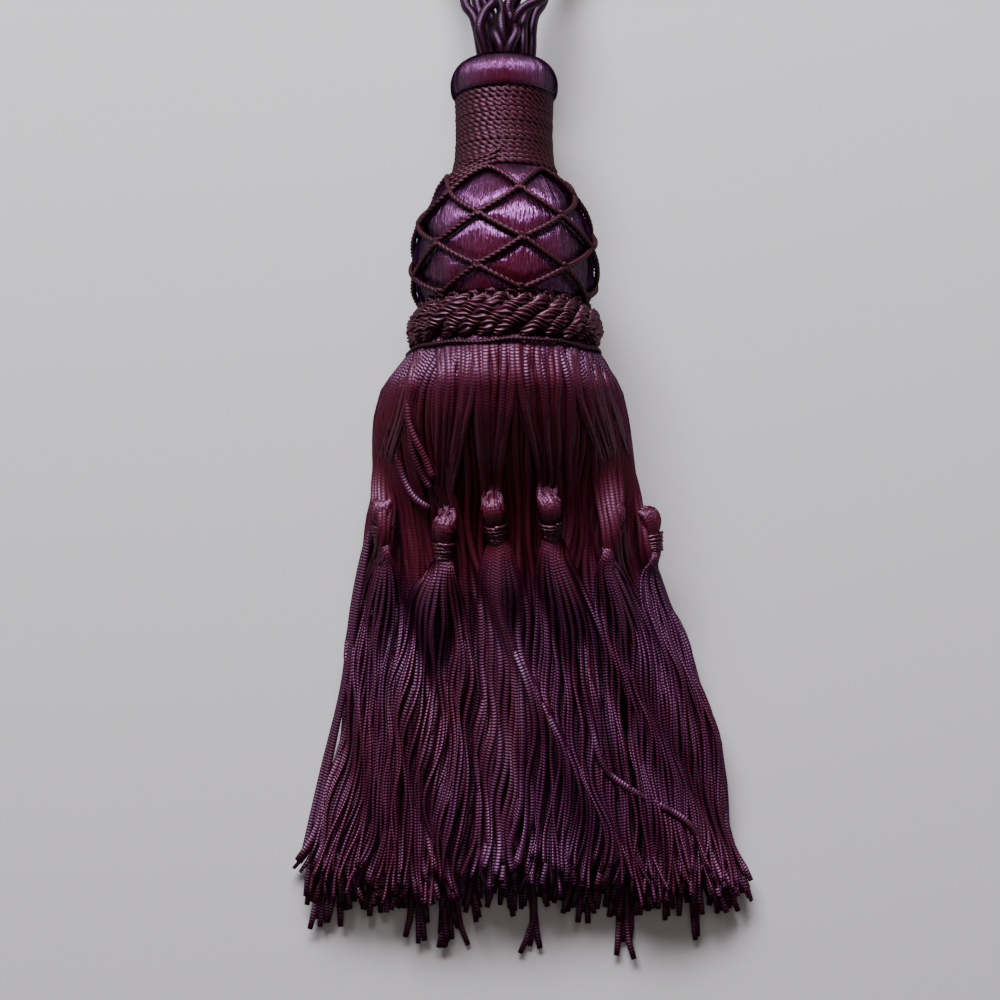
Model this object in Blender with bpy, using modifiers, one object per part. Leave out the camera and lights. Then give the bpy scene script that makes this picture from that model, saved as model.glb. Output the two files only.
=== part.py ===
"""Curtain tieback tassel, lying at rest on a flat surface, at its real size.

A turned head is covered in satin floss, wound with fine cord at its neck and
netted over its bulb. A plaited collar hides where the skirt of cut yarn is
tied on, a ring of small tassels lies over the skirt, and a rope loop leaves
the top of the head.

Metres, +Z up. The tassel lies along Y with its head towards +Y, and z = 0 is
the surface that it rests on.
"""

import math
from collections import namedtuple

import bmesh
import bpy
from mathutils import Vector
from mathutils.bvhtree import BVHTree

GAP = 0.0004  # clearance kept between touching pieces

# The head is turned about its own axis. Heights along it count from the
# middle of the collar towards the rope, and its crown end leans down a little.
HEAD_PLACE = Vector((0.0, 0.0491, 0.0294))
HEAD_LEAN = math.radians(4)
TURN_STEPS = 40

CAP_BASE, CAP_TOP = 0.0673, 0.0782
CAP_RADIUS, CAP_CROWN, CAP_SHOULDER = 0.0156, 0.0088, 0.0708
CAP_UNDERCUT, CAP_SHOULDER_STEPS = 0.0010, 5

COLLAR_HALF_HEIGHT, COLLAR_FLARE = 0.0058, 0.0012
COLLAR_RADIUS, COLLAR_HALF_THICKNESS = 0.0262, 0.0016
COLLAR_GROUPS, COLLAR_RELIEF, COLLAR_SLANT = 24, 0.0004, 1.3
COLLAR_SQUARENESS, COLLAR_STEPS, COLLAR_SIDES = 0.6, 72, 8

EDGE_CORD_HEIGHT, EDGE_CORD_RADIUS, EDGE_CORD_THICKNESS = -0.0072, 0.0281, 0.0016
EDGE_CORD_STEPS = 36

NET_THICKNESS, NET_WIDTH, NET_CLEAR = 0.0014, 0.0016, 0.0007
NET_CELLS = 6
NET_TURN = math.radians(12)
NET_SLOPE_STEP = 0.0005  # the length over which the bulb's slope under the net is read

ROPE_THICKNESS = 0.0073
ROPE_POINT_SPACING, ROPE_STUB = 0.0170, 0.0040
ROPE_FINE_STEPS = 20  # short steps between two of the route's points, which its length is read from

Turned = namedtuple("Turned", "height radius")
NECK = [
    Turned(0.0669, 0.0141),
    Turned(0.0614, 0.0139),
    Turned(0.0554, 0.0138),
    Turned(0.0494, 0.0141),
    Turned(0.0464, 0.0146),
    Turned(0.0450, 0.0152),
]
BULB = [
    Turned(0.0446, 0.0151),
    Turned(0.0429, 0.0166),
    Turned(0.0404, 0.0186),
    Turned(0.0364, 0.0210),
    Turned(0.0324, 0.0232),
    Turned(0.0274, 0.0250),
    Turned(0.0214, 0.0260),
    Turned(0.0134, 0.0260),
    Turned(0.0084, 0.0250),
    Turned(0.0066, 0.0240),
]
BULB_SEAT_RADIUS, BULB_SEAT_TOP, BULB_BASE = 0.0234, 0.0062, -0.0030
BULB_STEPS = 10

# Rings of crossings of the net, from the neck to the collar. Every second
# ring is turned by half a cell.
NetRing = namedtuple("NetRing", "height cells_round")
NET_RINGS = [
    NetRing(0.0430, 0.5),
    NetRing(0.0364, 0.0),
    NetRing(0.0284, 0.5),
    NetRing(0.0211, 0.0),
    NetRing(0.0136, 0.5),
    NetRing(0.0082, 0.0),
]

# The skirt from its tied top to where its outer yarns end. left and right are
# its widest, low and top its heights, side the height of its widest point,
# flat how far its underside has settled, and lean how far the section follows
# the lean of the head.
Section = namedtuple("Section", "y left right low top side flat lean")
SKIRT = [
    Section(0.0452, -0.0246, 0.0246, 0.0049, 0.0541, 0.0295, 0.0, 1.0),
    Section(0.0422, -0.0257, 0.0257, 0.0040, 0.0554, 0.0297, 0.0, 1.0),
    Section(0.0402, -0.0272, 0.0272, 0.0026, 0.0570, 0.0298, 0.1, 1.0),
    Section(0.0345, -0.0330, 0.0320, 0.0000, 0.0592, 0.0280, 0.7, 0.9),
    Section(0.0250, -0.0370, 0.0350, 0.0000, 0.0560, 0.0230, 1.0, 0.6),
    Section(0.0130, -0.0389, 0.0374, 0.0000, 0.0480, 0.0170, 1.0, 0.3),
    Section(0.0000, -0.0394, 0.0396, 0.0000, 0.0390, 0.0130, 1.0, 0.0),
    Section(-0.0180, -0.0411, 0.0447, 0.0000, 0.0315, 0.0100, 1.0, 0.0),
    Section(-0.0360, -0.0444, 0.0540, 0.0000, 0.0275, 0.0085, 1.0, 0.0),
    Section(-0.0600, -0.0490, 0.0601, 0.0000, 0.0245, 0.0075, 1.0, 0.0),
    Section(-0.0840, -0.0537, 0.0652, 0.0000, 0.0210, 0.0065, 1.0, 0.0),
    Section(-0.1030, -0.0573, 0.0695, 0.0000, 0.0180, 0.0055, 1.0, 0.0),
    Section(-0.1130, -0.0592, 0.0718, 0.0000, 0.0160, 0.0050, 1.0, 0.0),
]
SKIRT_RINGS = 18
SIDE_CROWDING = 0.55  # how much closer the points of a section lie at its sides
UNDER_FULLNESS, UNDER_SQUARENESS = 0.4, 0.3  # how the underside spreads where it has settled
FOLD_DEPTH, FOLD_START, FOLD_FULL = 0.0020, 0.0320, -0.0300
SWAY, SWAY_LENGTH, SWAY_STEP = 0.0010, 0.0160, 0.55

# Locks of yarn side by side across the skirt: how many cells of the section
# each takes, how far its longest yarns reach past the skirt's cut end, and
# how far it stands up, as a share of the folds' depth.
Lock = namedtuple("Lock", "cells reach swell")
LOCKS = [
    Lock(2, 0.0030, 0.1),
    Lock(3, 0.0110, 0.5),
    Lock(2, 0.0090, -0.1),
    Lock(3, 0.0160, 0.3),
    Lock(2, 0.0240, 0.0),
    Lock(2, 0.0120, 0.6),
    Lock(3, 0.0150, 0.1),
    Lock(2, 0.0260, 0.4),
    Lock(3, 0.0140, -0.2),
    Lock(2, 0.0180, 0.5),
    Lock(3, 0.0260, 0.0),
    Lock(2, 0.0120, 0.3),
    Lock(3, 0.0220, 0.6),
    Lock(2, 0.0100, -0.1),
    Lock(2, 0.0040, 0.2),
]
LOCK_ROUNDNESS = 1.5
LOCK_OVERHANG, LOCK_TUCK, LOCK_END_HEIGHT, LOCK_END_WIDTH = 0.0035, 0.0006, 0.0040, 0.6

# Small tassels round the skirt: where the top of each bead lies, its angle
# round the skirt from straight up, and how its skirt turns as it runs down.
SmallTassel = namedtuple("SmallTassel", "y turn sweep")
SMALL_TASSELS = [
    SmallTassel(0.0005, -66, -5),
    SmallTassel(-0.0042, -34, -12),
    SmallTassel(0.0007, -5, -4),
    SmallTassel(0.0014, 26, 11),
    SmallTassel(-0.0005, 57, 8),
    SmallTassel(-0.0024, 80, 4),
]
Bundle = namedtuple("Bundle", "along half_width height")
BUNDLE = [
    Bundle(0.0000, 0.0014, 0.0030),
    Bundle(0.0012, 0.0030, 0.0060),
    Bundle(0.0042, 0.0037, 0.0074),
    Bundle(0.0070, 0.0032, 0.0064),
    Bundle(0.0085, 0.0029, 0.0058),
    Bundle(0.0135, 0.0030, 0.0058),
    Bundle(0.0165, 0.0038, 0.0062),
    Bundle(0.0225, 0.0045, 0.0056),
    Bundle(0.0300, 0.0048, 0.0044),
    Bundle(0.0360, 0.0046, 0.0026),
]
BUNDLE_SIDES, BUNDLE_CLEAR, BUNDLE_LIFT_LENGTH = 10, 0.0006, 0.0220
SKIRT_HEART = 0.0120  # height of the line that the small tassels' angles turn about

# The rope leaves the crown of the head, opens into a loop on the surface and
# comes back to the crown.
RoutePoint = namedtuple("RoutePoint", "x y z")
ROPE_ROUTE = [
    RoutePoint(-0.0041, 0.1276, 0.0238),
    RoutePoint(-0.0042, 0.1346, 0.0233),
    RoutePoint(-0.0058, 0.1455, 0.0203),
    RoutePoint(-0.0098, 0.1580, 0.0140),
    RoutePoint(-0.0170, 0.1710, 0.0080),
    RoutePoint(-0.0290, 0.1900, 0.0045),
    RoutePoint(-0.0450, 0.2170, 0.0038),
    RoutePoint(-0.0610, 0.2480, 0.0038),
    RoutePoint(-0.0710, 0.2820, 0.0038),
    RoutePoint(-0.0680, 0.3150, 0.0038),
    RoutePoint(-0.0500, 0.3410, 0.0038),
    RoutePoint(-0.0200, 0.3540, 0.0038),
    RoutePoint(0.0120, 0.3550, 0.0038),
    RoutePoint(0.0430, 0.3440, 0.0038),
    RoutePoint(0.0660, 0.3200, 0.0038),
    RoutePoint(0.0745, 0.2880, 0.0038),
    RoutePoint(0.0680, 0.2540, 0.0038),
    RoutePoint(0.0530, 0.2220, 0.0038),
    RoutePoint(0.0360, 0.1940, 0.0044),
    RoutePoint(0.0225, 0.1730, 0.0078),
    RoutePoint(0.0135, 0.1590, 0.0138),
    RoutePoint(0.0076, 0.1457, 0.0202),
    RoutePoint(0.0043, 0.1346, 0.0233),
    RoutePoint(0.0041, 0.1276, 0.0238),
]


def start_scene():
    """Clears the file and returns the collection that the pieces go in."""
    for old in list(bpy.data.objects):
        bpy.data.objects.remove(old, do_unlink=True)
    collection = bpy.data.collections.new("tieback_tassel")
    bpy.context.scene.collection.children.link(collection)
    return collection


def make_material(name, colour, roughness):
    """A dyed rayon yarn: no metal, and a gloss that depends on how tightly it is laid."""
    material = bpy.data.materials.new(name)
    material.use_nodes = True
    surface = material.node_tree.nodes["Principled BSDF"]
    surface.inputs["Base Color"].default_value = (*colour, 1.0)
    surface.inputs["Roughness"].default_value = roughness
    surface.inputs["Metallic"].default_value = 0.0
    return material


def add_piece(name, shape, collection, material, smooth=True):
    """Puts a bmesh into the scene as one named object."""
    mesh = bpy.data.meshes.new(name)
    shape.to_mesh(mesh)
    shape.free()
    if smooth:
        mesh.shade_smooth()
    mesh.materials.append(material)
    piece = bpy.data.objects.new(name, mesh)
    collection.objects.link(piece)
    return piece


def value_at(rows, column, place):
    """Reads a column of a table at any place along its first column, on a smooth curve."""
    places = [row[0] for row in rows]
    rising = places[-1] > places[0]
    last = len(rows) - 2
    at = 0
    while at < last and (place > places[at + 1]) == rising:
        at += 1
    values = [getattr(row, column) for row in rows]

    def slope(index):
        before, after = max(index - 1, 0), min(index + 1, len(rows) - 1)
        return (values[after] - values[before]) / (places[after] - places[before])

    span = places[at + 1] - places[at]
    t = min(max((place - places[at]) / span, 0.0), 1.0)
    start = values[at] * (2 * t**3 - 3 * t**2 + 1) + slope(at) * span * (t**3 - 2 * t**2 + t)
    return start + values[at + 1] * (3 * t**2 - 2 * t**3) + slope(at + 1) * span * (t**3 - t**2)


def loft(rings, close_along=False):
    """Skins rings of points that all run the same way round, and caps the two ends."""
    shape = bmesh.new()
    made = [[shape.verts.new(point) for point in ring] for ring in rings]
    pairs = list(zip(made, made[1:]))
    if close_along:
        pairs.append((made[-1], made[0]))
    for one, two in pairs:
        for i in range(len(one)):
            j = (i + 1) % len(one)
            shape.faces.new((one[i], one[j], two[j], two[i]))
    if not close_along:
        shape.faces.new(reversed(made[0]))
        shape.faces.new(made[-1])
    if shape.calc_volume(signed=True) < 0:
        bmesh.ops.reverse_faces(shape, faces=shape.faces)
    return shape


def turned_piece(name, profile, collection, material):
    """Spins a profile about the head's axis. It runs down the outer side, top to bottom."""
    mesh = bpy.data.meshes.new(name)
    points = [(radius, 0.0, height) for height, radius in profile]
    mesh.from_pydata(points, [(i, i + 1) for i in range(len(points) - 1)], [])
    mesh.materials.append(material)
    piece = bpy.data.objects.new(name, mesh)
    collection.objects.link(piece)
    spin = piece.modifiers.new("turn", "SCREW")
    spin.axis = "Z"
    spin.steps = spin.render_steps = TURN_STEPS
    spin.use_merge_vertices = True
    spin.merge_threshold = 0.00001
    spin.use_smooth_shade = True
    place_on_head(piece)
    return piece


def place_on_head(piece):
    """Stands a piece modelled about +Z on the head's axis."""
    piece.location = HEAD_PLACE
    piece.rotation_euler.x = -(math.pi / 2 + HEAD_LEAN)


def add_cap(collection, material):
    """The floss-covered cap: a flat crown round the rope, a full shoulder, a drawn-in base."""
    profile = [Turned(CAP_TOP, 0.0), Turned(CAP_TOP, CAP_CROWN)]
    for step in range(1, CAP_SHOULDER_STEPS + 1):
        angle = step / CAP_SHOULDER_STEPS * math.pi / 2
        height = CAP_SHOULDER + (CAP_TOP - CAP_SHOULDER) * math.cos(angle)
        profile.append(Turned(height, CAP_CROWN + (CAP_RADIUS - CAP_CROWN) * math.sin(angle)))
    profile.append(Turned(CAP_BASE + CAP_UNDERCUT, CAP_RADIUS - CAP_UNDERCUT / 3))
    profile.append(Turned(CAP_BASE, CAP_RADIUS - CAP_UNDERCUT))
    profile.append(Turned(CAP_BASE, 0.0))
    return turned_piece("cap", profile, collection, material)


def add_neck(collection, material):
    """The close winding of fine cord, drawn in at its middle and flared onto the bulb."""
    profile = [Turned(NECK[0].height, 0.0), *NECK, Turned(NECK[-1].height, 0.0)]
    return turned_piece("neck_winding", profile, collection, material)


def add_bulb(collection, material):
    """The floss-covered bulb, with the narrower seat that the collar is wound on."""
    profile = [Turned(BULB[0].height, 0.0)]
    for step in range(BULB_STEPS + 1):
        height = BULB[0].height + (BULB[-1].height - BULB[0].height) * step / BULB_STEPS
        profile.append(Turned(height, value_at(BULB, "radius", height)))
    profile.append(Turned(BULB_SEAT_TOP, BULB_SEAT_RADIUS))
    profile.append(Turned(BULB_BASE, BULB_SEAT_RADIUS))
    profile.append(Turned(BULB_BASE, 0.0))
    return turned_piece("bulb", profile, collection, material)


def net_point(height, turn):
    """A point in the middle of the net's cords, which lie just clear of the bulb."""
    above = value_at(BULB, "radius", height + NET_SLOPE_STEP)
    below = value_at(BULB, "radius", height - NET_SLOPE_STEP)
    slope = (above - below) / (2 * NET_SLOPE_STEP)
    out = (NET_THICKNESS / 2 + NET_CLEAR) * math.hypot(1.0, slope)
    radius = value_at(BULB, "radius", height) + out
    return Vector((radius * math.sin(turn), -radius * math.cos(turn), height))


def add_net(collection, material):
    """The lattice of cord: faces between the crossings are inset, opened and given the cord's thickness."""
    shape = bmesh.new()
    verts = {}
    cell = 2 * math.pi / NET_CELLS
    last = len(NET_RINGS) - 1

    def vert(ring_place, cells_round):
        """ring_place counts rings from the top, with halves along the cords between them."""
        cells_round %= NET_CELLS
        key = (ring_place, round(cells_round, 3))
        if key not in verts:
            upper = NET_RINGS[math.floor(ring_place)]
            lower = NET_RINGS[math.ceil(ring_place)]
            height = (upper.height + lower.height) / 2
            verts[key] = shape.verts.new(net_point(height, NET_TURN + cells_round * cell))
        return verts[key]

    lower_half = [(0, 0.5), (0.5, 0.25), (1, 0), (0.5, -0.25), (0, -0.5)]
    upper_half = [(0, -0.5), (-0.5, -0.25), (-1, 0), (-0.5, 0.25), (0, 0.5)]
    rim = [(0, -0.25), (0, 0), (0, 0.25)]
    for middle in range(last + 1):
        if middle == 0:
            corners = lower_half + rim
        elif middle == last:
            corners = upper_half + rim[::-1]
        else:
            corners = lower_half + upper_half[1:-1]
        for count in range(NET_CELLS):
            centre = count + NET_RINGS[middle].cells_round + 0.5
            shape.faces.new([vert(middle + down, centre + across) for down, across in corners])
    bmesh.ops.recalc_face_normals(shape, faces=shape.faces)
    cells = list(shape.faces)
    bmesh.ops.inset_individual(shape, faces=cells, thickness=NET_WIDTH / 2, use_even_offset=True)
    bmesh.ops.delete(shape, geom=cells, context="FACES_ONLY")
    for made in shape.verts:
        made.co = net_point(made.co.z, math.atan2(made.co.x, -made.co.y))
    net = add_piece("net", shape, collection, material)
    cords = net.modifiers.new("cords", "SOLIDIFY")
    cords.thickness = NET_THICKNESS
    cords.offset = 0.0
    place_on_head(net)
    return net


def add_collar(collection, material):
    """The plaited collar: a flat ring with slanting groups of cords, flat where it meets the surface."""
    rings = []
    for step in range(COLLAR_STEPS):
        turn = step / COLLAR_STEPS * 2 * math.pi
        ring = []
        for side in range(COLLAR_SIDES):
            angle = side / COLLAR_SIDES * 2 * math.pi
            squared = abs(math.sin(angle)) ** COLLAR_SQUARENESS
            height = COLLAR_HALF_HEIGHT * math.copysign(squared, math.sin(angle))
            outward = math.cos(angle)
            phase = COLLAR_GROUPS * turn - COLLAR_SLANT * math.pi * height / COLLAR_HALF_HEIGHT
            relief = COLLAR_RELIEF * math.cos(phase) * max(outward, 0.0)
            flare = -COLLAR_FLARE * height / COLLAR_HALF_HEIGHT
            radius = COLLAR_RADIUS + flare + COLLAR_HALF_THICKNESS * outward + relief
            ring.append(Vector((radius * math.sin(turn), -radius * math.cos(turn), height)))
        rings.append(ring)
    collar = add_piece("collar", loft(rings, close_along=True), collection, material)
    place_on_head(collar)
    bpy.context.view_layer.update()
    to_world = collar.matrix_world.copy()
    for vert in collar.data.vertices:
        placed = to_world @ vert.co
        placed.z = max(placed.z, 0.0)
        vert.co = to_world.inverted() @ placed
    return collar


def add_tube(name, points, thickness, collection, material, closed=False):
    """A cord through points: a curve with a round bevel and filled ends."""
    curve = bpy.data.curves.new(name, "CURVE")
    curve.dimensions = "3D"
    curve.bevel_depth = thickness / 2
    curve.bevel_resolution = 2
    curve.use_fill_caps = True
    line = curve.splines.new("POLY")
    line.points.add(len(points) - 1)
    for vertex, point in zip(line.points, points):
        vertex.co = (*point, 1.0)
    line.use_cyclic_u = closed
    line.use_smooth = True
    curve.materials.append(material)
    tube = bpy.data.objects.new(name, curve)
    collection.objects.link(tube)
    return tube


def add_edge_cord(collection, material):
    """The thin cord laid round the lower edge of the collar."""
    points = []
    for step in range(EDGE_CORD_STEPS):
        turn = step / EDGE_CORD_STEPS * 2 * math.pi
        across, up = EDGE_CORD_RADIUS * math.sin(turn), EDGE_CORD_RADIUS * math.cos(turn)
        points.append((across, -up, EDGE_CORD_HEIGHT))
    cord = add_tube("edge_cord", points, EDGE_CORD_THICKNESS, collection, material, closed=True)
    place_on_head(cord)
    return cord


def smooth_route(route, spacing, stub):
    """Points on a smooth curve through the route: a short stub at each end, evenly spaced between."""
    points = [Vector(point) for point in route]
    fine = []
    for i in range(len(points) - 1):
        before, here = points[max(i - 1, 0)], points[i]
        there, after = points[i + 1], points[min(i + 2, len(points) - 1)]
        for step in range(ROPE_FINE_STEPS):
            t = step / ROPE_FINE_STEPS
            curve = 2 * here + (there - before) * t
            curve += (2 * before - 5 * here + 4 * there - after) * t**2
            curve += (3 * here - before - 3 * there + after) * t**3
            fine.append(curve / 2)
    fine.append(points[-1])
    lengths = [0.0]
    for one, two in zip(fine, fine[1:]):
        lengths.append(lengths[-1] + (two - one).length)
    inner = lengths[-1] - 2 * stub
    count = round(inner / spacing)
    wanted_places = [0.0, *(stub + inner * step / count for step in range(count + 1)), lengths[-1]]
    even = []
    at = 0
    for wanted in wanted_places:
        while at < len(fine) - 2 and lengths[at + 1] < wanted:
            at += 1
        share = (wanted - lengths[at]) / (lengths[at + 1] - lengths[at])
        even.append(fine[at].lerp(fine[at + 1], share))
    return even


def add_rope(collection, material):
    """The tie: one rope from the crown, round its open loop and back to the crown."""
    points = smooth_route(ROPE_ROUTE, ROPE_POINT_SPACING, ROPE_STUB)
    return add_tube("rope_loop", points, ROPE_THICKNESS, collection, material)


def lock_depths():
    """How deep the surface lies at each point across the skirt: 1 between locks, least on a full lock."""
    depths = []
    for lock in LOCKS:
        for cell in range(lock.cells):
            from_middle = abs(2 * cell / lock.cells - 1) ** LOCK_ROUNDNESS
            depths.append(from_middle - lock.swell * (1 - from_middle))
    return [*depths, 1.0]


def skirt_ring(y, depths):
    """One section of the skirt: its upper side from left to right, then its underside back."""
    left, right = value_at(SKIRT, "left", y), value_at(SKIRT, "right", y)
    low, top = max(value_at(SKIRT, "low", y), 0.0), value_at(SKIRT, "top", y)
    side, flat = value_at(SKIRT, "side", y), value_at(SKIRT, "flat", y)
    lean = value_at(SKIRT, "lean", y) * math.tan(HEAD_LEAN)
    folded = min(max((FOLD_START - y) / (FOLD_START - FOLD_FULL), 0.0), 1.0)
    upper, under = [], []
    cells = len(depths) - 1
    for i, depth in enumerate(depths):
        even = 2 * i / cells - 1
        across = (1 - SIDE_CROWDING) * even + SIDE_CROWDING * math.sin(even * math.pi / 2)
        rise = math.sqrt(max(1 - across**2, 0.0))
        x = (left + right) / 2 + (right - left) / 2 * across
        x += SWAY * folded * math.sin(y / SWAY_LENGTH + i * SWAY_STEP)
        z = side + (top - side) * rise - FOLD_DEPTH * folded * depth * rise
        upper.append(Vector((x, y + (z - HEAD_PLACE.z) * lean, z)))
        fall = min((1 + UNDER_FULLNESS * flat) * rise ** (1 - UNDER_SQUARENESS * flat), 1.0)
        z = side - (side - low) * fall
        under.append(Vector((x, y + (z - HEAD_PLACE.z) * lean, z)))
    return upper + under[-2:0:-1]


def add_skirt(collection, material):
    """The skirt of cut yarn: folded into locks, with each lock's longest yarns as a tooth of its comb."""
    depths = lock_depths()
    cells = len(depths) - 1
    places = [row.y for row in SKIRT[:3]]
    start, end = SKIRT[2].y, SKIRT[-1].y
    places += [start + (end - start) * (step / SKIRT_RINGS) for step in range(1, SKIRT_RINGS + 1)]
    rings = [skirt_ring(y, depths) for y in places]
    shape = loft(rings)
    shape.verts.ensure_lookup_table()
    last = list(shape.verts)[-len(rings[-1]):]
    end_face = next(face for face in shape.faces if set(face.verts) == set(last))
    bmesh.ops.delete(shape, geom=[end_face], context="FACES_ONLY")
    upper = last[: cells + 1]
    under = [upper[0], *reversed(last[cells + 1:]), upper[-1]]
    strips = []
    at = 0
    for lock in LOCKS:
        strip = []
        for i in range(at, at + lock.cells):
            corners = [upper[i], upper[i + 1], under[i + 1], under[i]]
            strip.append(shape.faces.new(list(dict.fromkeys(corners))))
        strips.append(strip)
        at += lock.cells
    bmesh.ops.recalc_face_normals(shape, faces=shape.faces)
    for lock, strip in zip(LOCKS, strips):
        add_tooth(shape, strip, lock.reach)
    return add_piece("skirt", shape, collection, material)


def add_tooth(shape, strip, reach):
    """Draws one lock's end out: its upper yarns end first, and its lowest ones reach furthest."""
    bmesh.ops.inset_region(shape, faces=strip, thickness=LOCK_TUCK, use_even_offset=True)
    made = bmesh.ops.extrude_face_region(shape, geom=strip)["geom"]
    bmesh.ops.delete(shape, geom=strip, context="FACES_ONLY")
    ends = [item for item in made if isinstance(item, bmesh.types.BMVert)]
    middle = sum((vert.co.x for vert in ends), 0.0) / len(ends)
    height = max(vert.co.z for vert in ends)
    for vert in ends:
        depth = 1 - vert.co.z / height
        vert.co.y -= LOCK_OVERHANG + max(reach - LOCK_OVERHANG, 0.0) * depth
        vert.co.z *= LOCK_END_HEIGHT / height
        vert.co.x = middle + (vert.co.x - middle) * LOCK_END_WIDTH


def surface_tree(piece):
    """A search tree of a piece's faces where they lie."""
    graph = bpy.context.evaluated_depsgraph_get()
    evaluated = piece.evaluated_get(graph)
    mesh = evaluated.to_mesh()
    points = [evaluated.matrix_world @ vert.co for vert in mesh.vertices]
    faces = [tuple(face.vertices) for face in mesh.polygons]
    evaluated.to_mesh_clear()
    return BVHTree.FromPolygons(points, faces)


def add_small_tassel(name, tassel, tree, collection, material):
    """A bead, its tie and its little skirt, laid along the skirt just clear of its surface."""
    rings = []
    for row in BUNDLE:
        y = tassel.y - row.along
        turn = math.radians(tassel.turn + tassel.sweep * row.along / BUNDLE[-1].along)
        outward = Vector((math.sin(turn), 0.0, math.cos(turn)))
        seat, normal, _, _ = tree.ray_cast(Vector((0.0, y, SKIRT_HEART)), outward)
        if normal.dot(outward) < 0:
            normal.negate()
        normal = (normal + outward).normalized()
        sideways = Vector((0.0, 1.0, 0.0)).cross(normal).normalized()
        lift = BUNDLE_CLEAR * (1 + row.along / BUNDLE_LIFT_LENGTH)
        centre = seat + normal * (row.height / 2 + lift)
        ring = []
        for side in range(BUNDLE_SIDES):
            angle = side / BUNDLE_SIDES * 2 * math.pi
            point = centre + sideways * (row.half_width * math.cos(angle))
            point += normal * (row.height / 2 * math.sin(angle))
            near, face_normal, _, _ = tree.find_nearest(point)
            clear = (point - near).dot(face_normal)
            if clear < lift:
                point += face_normal * (lift - clear)
            point.z = max(point.z, GAP)
            ring.append(point)
        rings.append(ring)
    return add_piece(name, loft(rings), collection, material)


def main():
    collection = start_scene()
    floss = make_material("satin_floss", (0.110, 0.012, 0.036), 0.30)
    cord = make_material("twisted_cord", (0.070, 0.008, 0.024), 0.42)
    yarn = make_material("skirt_yarn", (0.058, 0.007, 0.026), 0.45)
    add_rope(collection, make_material("rope", (0.075, 0.009, 0.028), 0.40))
    add_cap(collection, floss)
    add_neck(collection, cord)
    add_bulb(collection, floss)
    add_net(collection, cord)
    add_collar(collection, cord)
    add_edge_cord(collection, cord)
    skirt = add_skirt(collection, yarn)
    bpy.context.view_layer.update()
    tree = surface_tree(skirt)
    for count, tassel in enumerate(SMALL_TASSELS, start=1):
        add_small_tassel(f"small_tassel_{count}", tassel, tree, collection, yarn)


main()
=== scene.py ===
"""A curtain tieback tassel, dressed in its cords, floss and yarns."""

import math
from collections import namedtuple

import bpy
import numpy as np
from mathutils import Matrix, Vector, noise
from mathutils.bvhtree import BVHTree


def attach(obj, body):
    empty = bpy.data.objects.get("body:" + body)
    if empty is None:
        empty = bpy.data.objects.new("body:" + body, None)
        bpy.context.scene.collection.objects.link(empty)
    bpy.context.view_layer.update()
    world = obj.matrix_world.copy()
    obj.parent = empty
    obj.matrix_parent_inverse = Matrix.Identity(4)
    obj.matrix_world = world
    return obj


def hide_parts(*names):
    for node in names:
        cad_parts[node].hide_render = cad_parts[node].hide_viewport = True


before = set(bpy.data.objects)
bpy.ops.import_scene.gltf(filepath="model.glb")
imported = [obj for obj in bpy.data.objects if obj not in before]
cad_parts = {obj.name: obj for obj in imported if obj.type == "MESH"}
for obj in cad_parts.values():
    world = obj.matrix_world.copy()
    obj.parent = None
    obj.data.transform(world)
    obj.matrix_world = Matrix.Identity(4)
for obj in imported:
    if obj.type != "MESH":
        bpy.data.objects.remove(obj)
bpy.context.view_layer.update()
bpy.ops.object.select_all(action="DESELECT")

# ---------------------------------------------------------------- The camera
# It looks straight down on the tassel as it lies, a little nearer than arm's
# length, with the head towards the top of the picture.
CAMERA_PLACE, CAMERA_LENS, CAMERA_SENSOR = (-0.0012, 0.0, 0.52), 61.5, 36.0
bpy.ops.object.camera_add(location=CAMERA_PLACE, rotation=(0.0, 0.0, 0.0))
camera = bpy.context.object
camera.name = "camera"
camera.data.lens = CAMERA_LENS
camera.data.sensor_width = CAMERA_SENSOR
bpy.context.scene.camera = camera

# ------------------------------------------------------------------ The rope
# The tie is a rope of five smooth cords, each a core wrapped in fine rayon:
# four are laid up loosely round the fifth. Its two legs are glued into the
# crown of the head, where the ten cord ends part and go in side by side.
UPWARDS = (0.0, 0.0, 1.0)
CURVE_STEPS = 24


def unit(vectors):
    """Each row of an array brought to a length of one."""
    return vectors / np.maximum(np.linalg.norm(vectors, axis=1), 1e-9)[:, None]


def places_along(line):
    """How far along a line each of its points lies."""
    return np.concatenate([[0.0], np.cumsum(np.linalg.norm(np.diff(line, axis=0), axis=1))])


def smooth_line(route, spacing):
    """Evenly spaced points on a smooth curve through a route's own points."""
    route = np.asarray(route, float)
    padded = np.vstack([route[:1], route, route[-1:]])[:, None, :]
    before, here, there, after = padded[:-3], padded[1:-2], padded[2:-1], padded[3:]
    t = (np.arange(CURVE_STEPS) / CURVE_STEPS)[:, None]
    fine = 2 * here + (there - before) * t + (2 * before - 5 * here + 4 * there - after) * t**2
    fine = fine + (3 * here - before - 3 * there + after) * t**3
    fine = np.vstack([(fine / 2).reshape(-1, 3), route[-1:]])
    length = places_along(fine)
    wanted = np.linspace(0.0, length[-1], max(int(round(length[-1] / spacing)), 2) + 1)
    return np.stack([np.interp(wanted, length, fine[:, axis]) for axis in range(3)], axis=1)


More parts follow.
